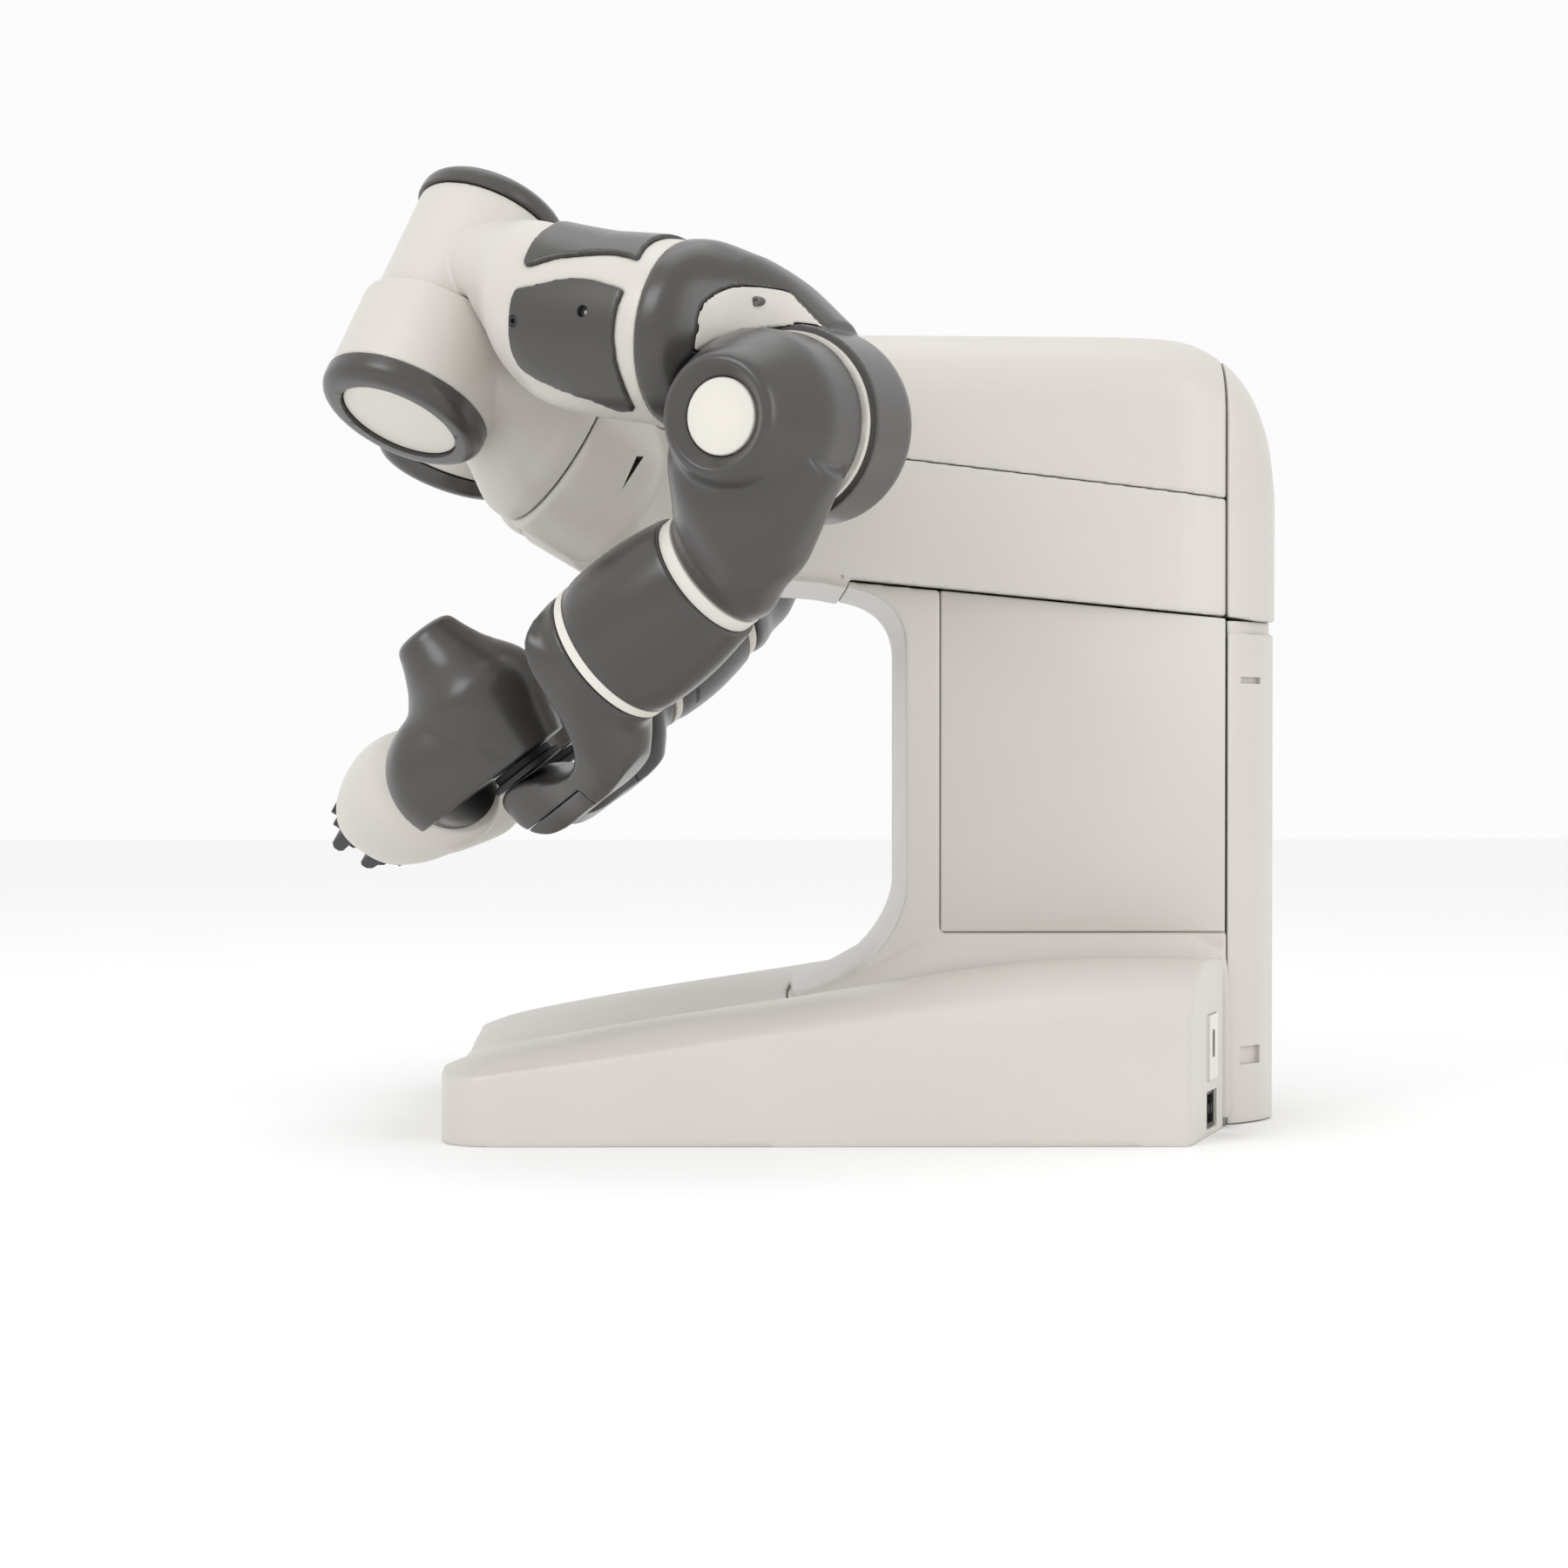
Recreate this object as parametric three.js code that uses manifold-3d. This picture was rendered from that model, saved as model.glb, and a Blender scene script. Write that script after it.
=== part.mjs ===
// Table-top dual-arm collaborative robot: a torso on a wide foot, and two seven-axis arms with
// two-finger grippers. Units are millimetres. +X is forward, +Y is the robot's left, +Z is up.
// The origin is the middle of the robot's base frame, on the surface that the foot stands on.
// Every arm piece is drawn in the frame of its own joint, whose +Z is that joint's axis.

import * as THREE from "three";
import { mergeVertices } from "three/addons/utils/BufferGeometryUtils.js";
import Module from "manifold-3d";

const wasm = await Module();
wasm.setup();

// ---- Driving dimensions ----
const GAP = 0.4; // clearance between pieces that touch on the real object
const ROUND = 24; // sides of a round piece

const FOOT = { front: 117, back: -309, half: 197, plate: 6, socketAt: [-331, 139], chamfer: Math.atan2(31, 88) };
const COLUMN = { front: -155, back: -348, rear: -382, half: 90, panelFront: -175, panelFoot: 116 };
const SEAM = { atBack: 306, atFront: 328, front: -120, gap: 1.2 }; // lower edge of the upper body
const COVER_SEAM = { atBack: 377, atFront: 403 }; // lower edge of the top cover
const BODY_TOP = 478;
const REAR_SPLIT = 300; // where the rear cover divides

// Shoulder flange: place and tilt of the first joint, the same on both sides.
const SHOULDER = { at: [53.55, 72.5, 414.92], tilt: [0.9781, -0.5716, 2.318], radius: 59 };

// The arm's joints from the shoulder out: offset and turn of each joint's frame in the one before.
const HALF = Math.PI / 2;
const JOINT_2 = { at: [30, 0, 100], tilt: [HALF, 0, 0] };
const JOINT_3 = { at: [-30, 172.83, 0], tilt: [-HALF, 0, 0] };
const JOINT_4 = { at: [-41.88, 0, 78.73], tilt: [HALF, -HALF, 0] };
const JOINT_5 = { at: [40.5, 164.61, 0], tilt: [-HALF, 0, 0] };
const JOINT_6 = { at: [-27, 0, 100.39], tilt: [HALF, 0, 0] };
const JOINT_7 = { at: [27, 29, 0], tilt: [-HALF, 0, 0] };

// The stored pose, in degrees, of joints 1 to 7.
const POSE = [-27, -127, 121, 48.5, 74, 30, -23];

const SHOULDER_BARREL = { radius: 49, ring: 49.8, near: 46, end: 60.5, disc: 35.5, top: 7.4 };
const UPPER_BARREL = { radius: 44, near: 8.4, far: 79, cap: 46, end: 97 };
const UPPER_ARM = { radius: 51, end: 182, padRise: 2.4 };
const ELBOW = { start: 9.5, drum: 54, back: 58, ring: 50, rim: -74, rimRadius: 30, disc: 20.5, liner: 38 };
const FOREARM = { neck: 36, ringA: -86, ringWidth: 8, ringB: -7.5, ringEnd: -1.6, bulge: 45, end: 43 };
const WRIST_HOOK = { collar: 42.5, outer: -62.5, end: 126 };
const WRIST = { snout: -80, foot: 14.6, mouth: 28.6, flange: 28 };
const GRIPPER = { start: 7.4, end: 94, fingerEnd: 134, fingerAt: [6, 10] };

// ---- Materials ----
const paint = (color, roughness, metalness = 0) =>
  new THREE.MeshStandardMaterial({ color, roughness, metalness });
const LIGHT = paint(0xd8d4cc, 0.38);
const CREAM = paint(0xe8e5de, 0.45);
const DARK = paint(0x5b5957, 0.4);
const BLACK = paint(0x1c1c1d, 0.6);
const STEEL = paint(0xa9abad, 0.35, 0.9);

// ---- Solids ----
function solid(geometry) {
  const bare = geometry.index ? geometry.toNonIndexed() : geometry.clone();
  bare.deleteAttribute("normal");
  bare.deleteAttribute("uv");
  const merged = mergeVertices(bare, 1e-4);
  const triVerts = new Uint32Array(merged.index.array);
  const vertProperties = merged.attributes.position.array;
  const made = new wasm.Manifold(new wasm.Mesh({ numProp: 3, vertProperties, triVerts }));
  if (made.volume() > 0) return made;
  for (let i = 0; i < triVerts.length; i += 3) {
    [triVerts[i + 1], triVerts[i + 2]] = [triVerts[i + 2], triVerts[i + 1]];
  }
  return new wasm.Manifold(new wasm.Mesh({ numProp: 3, vertProperties, triVerts }));
}

function mesh(name, made, material) {
  const data = made.getMesh();
  const geometry = new THREE.BufferGeometry();
  geometry.setAttribute("position", new THREE.BufferAttribute(data.vertProperties, 3));
  geometry.setIndex(new THREE.BufferAttribute(data.triVerts, 1));
  geometry.computeVertexNormals();
  const item = new THREE.Mesh(geometry, material);
  item.name = name;
  return item;
}

function place(geometry, at = [0, 0, 0], turn = [0, 0, 0]) {
  const matrix = new THREE.Matrix4().makeRotationFromEuler(new THREE.Euler(...turn, "ZYX"));
  matrix.setPosition(...at);
  return geometry.applyMatrix4(matrix);
}

const AXIS_TURN = { z: [HALF, 0, 0], y: [0, 0, 0], x: [0, 0, -HALF] };

// A turned solid: profile points are [radius, distance along the axis], on the axis at both ends.
function turned(profile, axis = "z", at = [0, 0, 0], sides = ROUND) {
  const points = profile.map(([r, along]) => new THREE.Vector2(r, along));
  return solid(place(new THREE.LatheGeometry(points, sides), at, AXIS_TURN[axis]));
}

// A drum from one distance to another along its axis, with a rounded edge at either end.
function drum(radius, from, to, { axis, at, edgeFrom = 0, edgeTo = 0, sides } = {}) {
  const profile = [[0, from]];
  const arc = (edge, end, sign) => {
    if (edge === 0) return [[radius, end]];
    const steps = [0, 1, 2].map((i) => (i / 2) * HALF);
    return steps.map((a) => [radius - edge * (1 - Math.sin(a)), end + sign * edge * (1 - Math.cos(a))]);
  };
  profile.push(...arc(edgeFrom, from, 1));
  profile.push(...arc(edgeTo, to, -1).reverse());
  profile.push([0, to]);
  return turned(profile, axis, at, sides);
}

function ring(outer, inner, from, to, options = {}) {
  const hole = drum(inner, from - 5, to + 5, { axis: options.axis, at: options.at });
  return drum(outer, from, to, options).subtract(hole);
}

function block(low, high) {
  const size = high.map((v, i) => v - low[i]);
  const middle = high.map((v, i) => (v + low[i]) / 2);
  return solid(place(new THREE.BoxGeometry(...size), middle));
}

// A closed skin over a list of rings that all have the same number of points.
function skin(rings) {
  const count = rings[0].length;
  const positions = rings.flat().flat();
  const index = [];
  for (let r = 0; r + 1 < rings.length; r++) {
    for (let i = 0; i < count; i++) {
      const a = r * count + i;
      const b = r * count + ((i + 1) % count);
      index.push(a, b, b + count, a, b + count, a + count);
    }
  }
  const cap = (start, flip) => {
    const outline = rings[start / count];
    const centre = [0, 1, 2].map((k) => outline.reduce((s, p) => s + p[k], 0) / count);
    const hub = positions.length / 3;
    positions.push(...centre);
    for (let i = 0; i < count; i++) {
      const pair = [start + i, start + ((i + 1) % count)];
      index.push(hub, ...(flip ? pair.reverse() : pair));
    }
  };
  cap(0, true);
  cap((rings.length - 1) * count, false);
  const geometry = new THREE.BufferGeometry();
  geometry.setAttribute("position", new THREE.Float32BufferAttribute(positions, 3));
  geometry.setIndex(index);
  return solid(geometry);
}

// An oval ring across Z or Y at a distance along it. power 2 is an ellipse, more is squarer.
function oval(axis, along, centre, radii, power = 2, sides = ROUND) {
  return Array.from({ length: sides }, (_, i) => {
    const a = (i / sides) * 2 * Math.PI;
    const bend = (v) => Math.sign(v) * Math.abs(v) ** (2 / power);
    const u = centre[0] + radii[0] * bend(Math.cos(a));
    const v = centre[1] + radii[1] * bend(Math.sin(a));
    return axis === "z" ? [u, v, along] : [u, along, v];
  });
}

// A tapering body through ovals, each [along, [centre], [radii], power].
const tapered = (axis, ovals) => skin(ovals.map((o) => oval(axis, o[0], o[1], o[2], o[3] ?? 2)));

// An outline of [u, v] points drawn out along an axis: u, v are x, y for z; x, z for y; y, z for x.
function drawn(outline, axis, from, to, bevel = 0) {
  const shape = new THREE.Shape(outline.map(([u, v]) => new THREE.Vector2(u, v)));
  const options = {
    depth: to - from - 2 * bevel,
    bevelEnabled: bevel > 0,
    bevelThickness: bevel,
    bevelSize: bevel,
    bevelOffset: -bevel,
    bevelSegments: 3,
    curveSegments: 6,
  };
  const geometry = new THREE.ExtrudeGeometry(shape, options);
  geometry.translate(0, 0, from + bevel);
  const basis = {
    z: [[1, 0, 0], [0, 1, 0], [0, 0, 1]],
    y: [[1, 0, 0], [0, 0, 1], [0, 1, 0]],
    x: [[0, 1, 0], [0, 0, 1], [1, 0, 0]],
  }[axis].map((v) => new THREE.Vector3(...v));
  return solid(geometry.applyMatrix4(new THREE.Matrix4().makeBasis(...basis)));
}

// A smooth closed outline through hand-set points.
function smooth(points, steps) {
  const curve = new THREE.CatmullRomCurve3(
    points.map(([u, v]) => new THREE.Vector3(u, v, 0)), true, "centripetal");
  return curve.getPoints(steps).slice(0, -1).map((p) => [p.x, p.y]);
}

// ---- Torso ----
const seamHeight = (x, seam) =>
  seam.atBack + ((x - COLUMN.back) / (SEAM.front - COLUMN.back)) * (seam.atFront - seam.atBack);

// Outline of the foot seen from above, with the corners cut at the rear.
function footOutline(inset = 0) {
  const half = FOOT.half - inset;
  const side = [
    [FOOT.front - 22 - inset, half - 9],
    [FOOT.front - 8 - inset, half - 15],
    [FOOT.front - inset, half - 32],
  ];
  const rear = [
    [FOOT.back + inset, half],
    [FOOT.back - 4 + inset, half - 5],
    [-344 + inset, 104 - inset],
    [-368 + inset, 76 - inset],
    [COLUMN.rear + inset, 52 - inset],
  ];
  const left = [...rear.slice().reverse(), ...side];
  const right = left.slice().reverse().map(([x, y]) => [x, -y]);
  return [...left, ...right];
}

function mountingPlate() {
  const front = block([COLUMN.back + GAP, -300, -10], [300, 300, 20]);
  return drawn(footOutline(4), "z", 0, FOOT.plate - GAP).intersect(front);
}

// The foot's cross-section at x: outer wall, a raised crown along each side and a shallow middle.
function footSection(x, wall, crown, middle) {
  const half = FOOT.half + 3;
  const side = [
    [half, 0], [half, wall - 5], [half - 3, wall], [half - 14, wall + 0.4 * (crown - wall)],
    [half - 34, wall + 0.8 * (crown - wall)], [half - 58, crown], [half - 88, crown - 2],
    [half - 118, (crown + middle) / 2], [40, middle],
  ];
  const left = side.map(([y, z]) => [x, y, z]);
  const right = side.slice().reverse().map(([y, z]) => [x, -y, z]);
  return [...left, ...right];
}

function footShell() {
  const body = skin([
    footSection(130, 24, 36, 30), footSection(112, 30, 44, 36), footSection(90, 38, 51, 40),
    footSection(40, 45, 61, 46), footSection(-20, 54, 71, 56), footSection(-80, 63, 80, 68),
    footSection(-142, 71, 90, 80), footSection(-200, 73, 99, 92), footSection(-260, 74, 104, 100),
    footSection(-400, 72, 104, 104),
  ]);
  const shaped = body.intersect(drawn(footOutline(), "z", 0, 140, 0));
  const under = drawn(footOutline(12), "z", -5, FOOT.plate + 20);
  const plateRoom = drawn(footOutline(2), "z", -5, FOOT.plate);
  const column = columnFoot();
  const switchRoom = cornerBox(4 + 2 * GAP, 24 + 2 * GAP, 38 + 2 * GAP, 52);
  const socket = cornerBox(16, 28, 18, 16);
  return [under, plateRoom, column, switchRoom, socket].reduce((made, room) => made.subtract(room), shaped);
}

// The room that the column takes out of the foot.
function columnFoot() {
  const half = COLUMN.half + 14 + GAP;
  return block([COLUMN.rear - 20, -half, -5], [COLUMN.front + 69 + GAP, half, 200]);
}

// The column's side outline: a fillet forward at the foot and under the upper body.
function columnSide() {
  const curve = (...points) => new THREE.QuadraticBezierCurve(...points.map((p) => new THREE.Vector2(...p)));
  const toe = COLUMN.front + 69;
  const { front } = COLUMN;
  const foot = curve([toe, 79], [front + 5, 99], [front, 140]);
  const neck = curve([front, 285], [front, 318], [SEAM.front, 323]);
  return [
    [COLUMN.back + GAP, FOOT.plate], [toe, FOOT.plate],
    ...[foot, neck].flatMap((made) => made.getPoints(7).map((p) => [p.x, p.y])),
    [SEAM.front, SEAM.atFront - SEAM.gap], [COLUMN.back + GAP, SEAM.atBack - SEAM.gap],
  ];
}

// The column seen from above at a given half width, with rounded front corners.
function columnPlan(half, front) {
  const corner = 30;
  const points = [];
  for (let i = 0; i <= 6; i++) {
    const a = (i / 6) * HALF;
    points.push([front - corner + corner * Math.sin(a), half - corner + corner * Math.cos(a)]);
  }
  const back = COLUMN.back + GAP;
  return [[back, half], ...points, ...points.slice().reverse().map(([x, y]) => [x, -y]), [back, -half]];
}

function columnShell() {
  const shaft = drawn(columnSide(), "y", -120, 120);
  const upright = drawn(columnPlan(COLUMN.half, COLUMN.front + 69), "z", 0, 400);
  const trunk = drawn(columnPlan(COLUMN.half, COLUMN.front), "z", 0, 400);
  const flare = skin([
    oval("z", 0, [-245, 0], [157, 103.8], 7), oval("z", 80, [-245, 0], [157, 103.8], 7),
    oval("z", 90, [-245, 0], [133, 102.5], 7), oval("z", 100, [-245, 0], [115, 100], 7),
    oval("z", 110, [-245, 0], [102, 95.5], 7), oval("z", 122, [-245, 0], [91, 89], 7),
  ]).intersect(block([COLUMN.back + GAP, -110, FOOT.plate], [0, 110, 116]));
  const full = shaft.intersect(upright).add(shaft.intersect(trunk)).add(flare);
  const hollow = block([-400, -74, 24], [COLUMN.front - 22, 74, 292]);
  return [1, -1].reduce((made, side) => made.subtract(panelRoom(side)), full.subtract(hollow));
}

function panelOutline(inset) {
  const front = COLUMN.panelFront - inset;
  const back = COLUMN.back + inset + GAP;
  const foot = COLUMN.panelFoot + inset;
  return [
    [back, foot], [front, foot], [front, seamHeight(front, SEAM) - 5 - inset],
    [back, SEAM.atBack - 5 - inset],
  ];
}

function panelRoom(side) {
  const span = [COLUMN.half - 4, COLUMN.half + 20].map((y) => y * side).sort((a, b) => a - b);
  return drawn(panelOutline(-0.01), "y", ...span);
}

function sidePanel(side) {
  const span = [COLUMN.half - 4 + GAP, COLUMN.half].map((y) => y * side).sort((a, b) => a - b);
  return drawn(panelOutline(0.8), "y", ...span);
}

// The upper body's cross-section at x: flat sides, a wide round at the top, a tight one below.
function bodySection(x, half, low, top, topRound, lowRound) {
  const left = [];
  const steps = [0, 1, 2, 3, 4].map((i) => (i / 4) * HALF);
  steps.forEach((a) => {
    left.push([x, half - lowRound + lowRound * Math.sin(a), low + lowRound - lowRound * Math.cos(a)]);
  });
  steps.forEach((a) => {
    left.push([x, half - topRound + topRound * Math.cos(a), top - topRound + topRound * Math.sin(a)]);
  });
  const right = left.slice().reverse().map(([px, y, z]) => [px, -y, z]);
  return [...left, ...right];
}

function upperBody() {
  const low = 290;
  const sections = [
    bodySection(-382, 56, low, 398, 26, 4), bodySection(-377, 66, low, 424, 30, 4),
    bodySection(-364, 79, low, 449, 34, 4), bodySection(-342, 88, low, 468, 38, 4),
    bodySection(-306, 95, low, BODY_TOP - 1, 42, 4), bodySection(-200, 99, low, BODY_TOP, 44, 4),
    bodySection(-120, 104, 322, BODY_TOP, 46, 10), bodySection(-60, 110, 328, BODY_TOP, 50, 14),
    bodySection(-15, 112, 336, BODY_TOP - 1, 54, 22), bodySection(20, 98, 345, BODY_TOP - 10, 54, 34),
    bodySection(42, 70, 362, BODY_TOP - 26, 44, 40), bodySection(52, 40, 380, BODY_TOP - 44, 26, 26),
  ];
  const columnRoom = block([-420, -200, 200], [SEAM.front + GAP, 200, 600]).subtract(above(SEAM, 0));
  return skin(sections).subtract(columnRoom);
}

// A solid that holds everything above a line rising from the back to the front.
function above(seam, lift) {
  const rise = (seam.atFront - seam.atBack) / (SEAM.front - COLUMN.back);
  const at = (x) => seam.atBack + (x - COLUMN.back) * rise + lift;
  return drawn([[-420, at(-420)], [200, at(200)], [200, 700], [-420, 700]], "y", -200, 200);
}

function inShoulder(made) {
  const matrix = new THREE.Matrix4()
    .makeRotationFromEuler(new THREE.Euler(...SHOULDER.tilt, "ZYX"))
    .setPosition(...SHOULDER.at);
  return made.transform(matrix.elements);
}

// The round seats that the arms' first joints turn on, on both sides.
function shoulderSeats(radius, from, to) {
  const seat = inShoulder(turned([
    [0, from], [radius - 16, from], [radius + 2, from + 50], [radius + 1, to - 3], [radius - 1, to], [0, to],
  ]));
  return seat.add(seat.mirror([0, 1, 0]));
}

function shoulderCasting() {
  const body = upperBody();
  const front = body.intersect(block([COLUMN.back + GAP, -160, 280], [200, 160, 700]));
  const lower = front.subtract(above(COVER_SEAM, -GAP / 2));
  const hollow = block([-330, -76, 290], [-130, 76, 520]);
  const seats = shoulderSeats(SHOULDER.radius, -96, -GAP).intersect(block([-60, -200, 200], [200, 200, 600]));
  return lower.add(seats).subtract(hollow);
}

function topCover() {
  const front = upperBody().intersect(block([COLUMN.back + GAP, -160, 280], [200, 160, 700]));
  const upper = front.intersect(above(COVER_SEAM, GAP / 2));
  const seats = shoulderSeats(SHOULDER.radius + GAP, -110, 20);
  const hollow = block([-330, -76, 290], [-130, 76, 462]);
  return upper.subtract(seats).subtract(hollow).decompose()[0];
}

function rearCover(top) {
  const body = upperBody().intersect(block([-400, -160, REAR_SPLIT + 4], [COLUMN.back - GAP, 160, 700]));
  if (top) return body;
  const outline = (inset) => [
    [COLUMN.back - GAP, inset - 88], [COLUMN.back - GAP, 88 - inset], [-356, 84 - inset], [-372 + inset, 68 - inset],
    [COLUMN.rear + inset, 50], [COLUMN.rear + inset, -50], [-372 + inset, inset - 68], [-356, inset - 84],
  ];
  const slab = drawn(outline(0), "z", 0.6, REAR_SPLIT - 4);
  return slab.add(drawn(outline(2.5), "z", REAR_SPLIT - 14, REAR_SPLIT + 4 - GAP));
}

function controlUnit() {
  return block([-336, -66, 60], [-186, 66, 280]);
}

function powerSupply() {
  return block([-330, -60, 26], [-186, 60, 56]);
}

// A box sunk into the cut rear corner of the foot: its thickness, width, height and middle height.
function cornerBox(thick, wide, high, middle) {
  const [x, y] = FOOT.socketAt;
  return solid(place(new THREE.BoxGeometry(thick, wide, high), [x, y, middle], [0, 0, -FOOT.chamfer]));
}

function switchPlate() {
  return cornerBox(4, 24, 38, 52).subtract(cornerBox(9, 8, 16, 54));
}

// ---- Arm pieces, each in its own joint's frame ----
function shoulderShell() {
  const { radius, near, top, ring: ringRadius } = SHOULDER_BARREL;
  const room = ringRadius + 2.4;
  const [x, , z] = JOINT_2.at;
  const neck = tapered("z", [
    [GAP, [0, 0], [58, 58]], [9, [0, 0], [59, 59]], [20, [2, -6], [55, 50]],
    [44, [14, -14], [44, 30], 2.2], [70, [26, -18], [41, 20], 2.4], [z, [x, -18], [40, 19], 2.6],
  ]);
  const axis = { axis: "y", at: [x, 0, z] };
  const pocket = drum(radius - 11, -near - 5, -7, axis);
  const bare = neck.subtract(drum(room, -90, -near, axis)).subtract(drum(room, top, 90, axis));
  return bare.add(drum(radius, -near, top, axis)).subtract(pocket);
}

function shoulderRing() {
  const { ring: outer, near, end, disc } = SHOULDER_BARREL;
  return ring(outer, disc + GAP, -end, -near - GAP, {
    axis: "y", at: [JOINT_2.at[0], 0, JOINT_2.at[2]], edgeFrom: 9,
  });
}

function shoulderDisc() {
  const { end, disc } = SHOULDER_BARREL;
  return drum(disc, -end + 2.5, -end + 7, { axis: "y", at: [JOINT_2.at[0], 0, JOINT_2.at[2]], edgeFrom: 1.5 });
}

function shoulderMotor() {
  const { end, disc } = SHOULDER_BARREL;
  return drum(disc - 2, -end + 8, -8, { axis: "y", at: [JOINT_2.at[0], 0, JOINT_2.at[2]], edgeFrom: 3 });
}

// The upper arm's tube, from the barrel on joint 2 to the flange of joint 3, grown by a margin.
function upperArmTube(grow) {
  const r = UPPER_ARM.radius + grow;
  return tapered("y", [
    [10, [-4, -36], [34 + grow, 27 + grow]], [44, [-16, -31], [40 + grow, 34 + grow]],
    [74, [-26, -14], [45 + grow, 44 + grow], 2.2], [100, [-30, -4], [48.5 + grow, 48.5 + grow], 2.2],
    [136, [-30, 0], [r - 0.6, r - 0.6]], [UPPER_ARM.end, [-30, 0], [r, r]],
  ]);
}

function upperArmShell() {
  const { radius, near, far } = UPPER_BARREL;
  const barrel = drum(radius, -far, -near);
  const clearance = drum(SHOULDER_BARREL.ring + 1.5, -near, 90);
  const pads = [PAD_OUTER, PAD_TOP].map((outline) => padRegion(outline, 0.3).intersect(upperArmTube(5)));
  const room = pads.reduce((all, pad) => all.add(pad)).subtract(upperArmTube(-1.6));
  return barrel.add(upperArmTube(0)).subtract(clearance).subtract(room);
}

// Edges of the two pads on the upper arm: distance along the arm, and angle round it in degrees.
const PAD_OUTER = [
  [99, 144], [99, 158], [101, 166], [113, 169], [128, 174], [144, 176], [158, 174], [171, 171],
  [169.5, 158], [169.5, 143], [171, 125], [173, 108], [173, 90], [162, 88], [149, 95], [128, 101],
  [112, 107], [102, 115], [99, 130],
];
const PAD_TOP = [
  [99, -142], [98, -158], [99, -174], [104, -177], [120, -170], [141, -164], [157, -163], [171, -167],
  [169, -155], [168, -140], [169, -125], [171, -108], [172, -92], [150, -94], [128, -100], [110, -106],
  [101, -116], [98, -128],
];

// A block over one pad's outline, from inside the arm to well outside it.
function padRegion(outline, grow) {
  const degrees = 180 / Math.PI / UPPER_ARM.radius;
  const middle = [0, 1].map((k) => outline.reduce((sum, p) => sum + p[k], 0) / outline.length);
  const rings = [20, 92].map((reach) => outline.map(([y, angle]) => {
    const away = new THREE.Vector2(y - middle[0], (angle - middle[1]) / degrees).setLength(grow);
    const a = ((angle + away.y * degrees) * Math.PI) / 180;
    return [-30 + reach * Math.cos(a), y + away.x, reach * Math.sin(a)];
  }));
  return skin(rings);
}

function upperArmPad(outline) {
  return padRegion(outline, -0.4).intersect(upperArmTube(UPPER_ARM.padRise)).subtract(upperArmTube(-1.2));
}

function upperArmCap() {
  const { cap, far, end } = UPPER_BARREL;
  return turned([
    [0, -end], [16, -end], [30, -end + 0.8], [39, -end + 3.5], [44.5, -end + 8], [cap, -end + 13],
    [cap, -far - 1.4], [cap - 1, -far - GAP], [0, -far - GAP],
  ]);
}

// Room that the elbow drum needs beside the elbow hook, in joint 3's frame.
function elbowRoom(radius, from) {
  const [x, , z] = JOINT_4.at;
  return drum(radius, from, 120, { axis: "y", at: [x, 0, z] });
}

// The hook's arm, from the flange of joint 3 round the outside of the elbow.
function hookArm() {
  const { start } = ELBOW;
  const arm = tapered("z", [
    [start, [0, 0], [50, 50]], [start + 3, [0, 0], [52, 52]], [26, [1, -2], [51, 50]],
    [44, [0.5, -14], [46, 41], 2.3], [66, [-9, -29], [43, 29], 2.6], [92, [-22, -30], [38, 27], 2.6],
  ]);
  return arm.subtract(elbowRoom(ELBOW.ring + 2.5, -5.4));
}

// The side of the hook's arm that faces the elbow, which the light liner covers.
function linerRegion(grow) {
  const from = ELBOW.liner - grow;
  const outline = smooth([
    [-70, from], [0, from], [17, from + 1], [27 + grow, from + 9], [29 + grow, 62], [24 + grow, 80],
    [12 + grow, 100], [-2, 118 + grow], [-70, 126],
  ], 26);
  return drawn(outline, "y", -12 - grow, 70);
}

function elbowHub(grow) {
  const [x, , z] = JOINT_4.at;
  const { drum: radius, back } = ELBOW;
  return drum(radius + grow, -back - grow, -5.4 + grow, { axis: "y", at: [x, 0, z], edgeFrom: 16 });
}

function elbowHook() {
  const [x, , z] = JOINT_4.at;
  const core = drum(24, -7, -1.4, { axis: "y", at: [x, 0, z] });
  return hookArm().subtract(linerRegion(GAP)).add(elbowHub(0)).add(core);
}

function elbowRing() {
  const [x, , z] = JOINT_4.at;
  return ring(ELBOW.ring, 24.6, -5, -1.4, { axis: "y", at: [x, 0, z] });
}

function elbowLiner() {
  const pieces = hookArm().intersect(linerRegion(0)).subtract(elbowHub(GAP)).decompose();
  return pieces.sort((a, b) => b.volume() - a.volume())[0];
}

// The turned front of the elbow: a rim round the disc's recess, then a cone out to the drum.
function elbowDome() {
  const { rim, rimRadius: radius } = ELBOW;
  return turned([
    [0, rim], [radius, rim], [radius + 3, rim + 2.5], [36, rim + 8], [41.2, rim + 19.5],
    [46, rim + 31], [49, rim + 46], [49, -0.8], [0, -0.8],
  ]);
}

function elbowShell() {
  const { rim, rimRadius, disc } = ELBOW;
  const neck = tapered("y", [
    [-22, [4, -28], [50, 24], 2.2], [-6, [8, -28], [54, 30], 2.3], [24, [19, -25], [57, 36], 2.3],
    [48, [28, -19], [50, 39], 2.3], [64, [36.5, -8], [43, 39], 2.1],
    [78, [40.5, 0], [FOREARM.neck, FOREARM.neck]],
  ]);
  const recess = turned([
    [0, rim + 6.5], [disc + 0.9, rim + 6.5], [rimRadius - 1.2, rim - 0.4], [rimRadius - 1.2, rim - 5],
    [0, rim - 5],
  ]);
  const seat = drum(disc + GAP, rim + 2, rim + 11);
  return elbowDome().add(neck).subtract(drum(58, -0.8, 80)).subtract(recess).subtract(seat);
}

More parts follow.
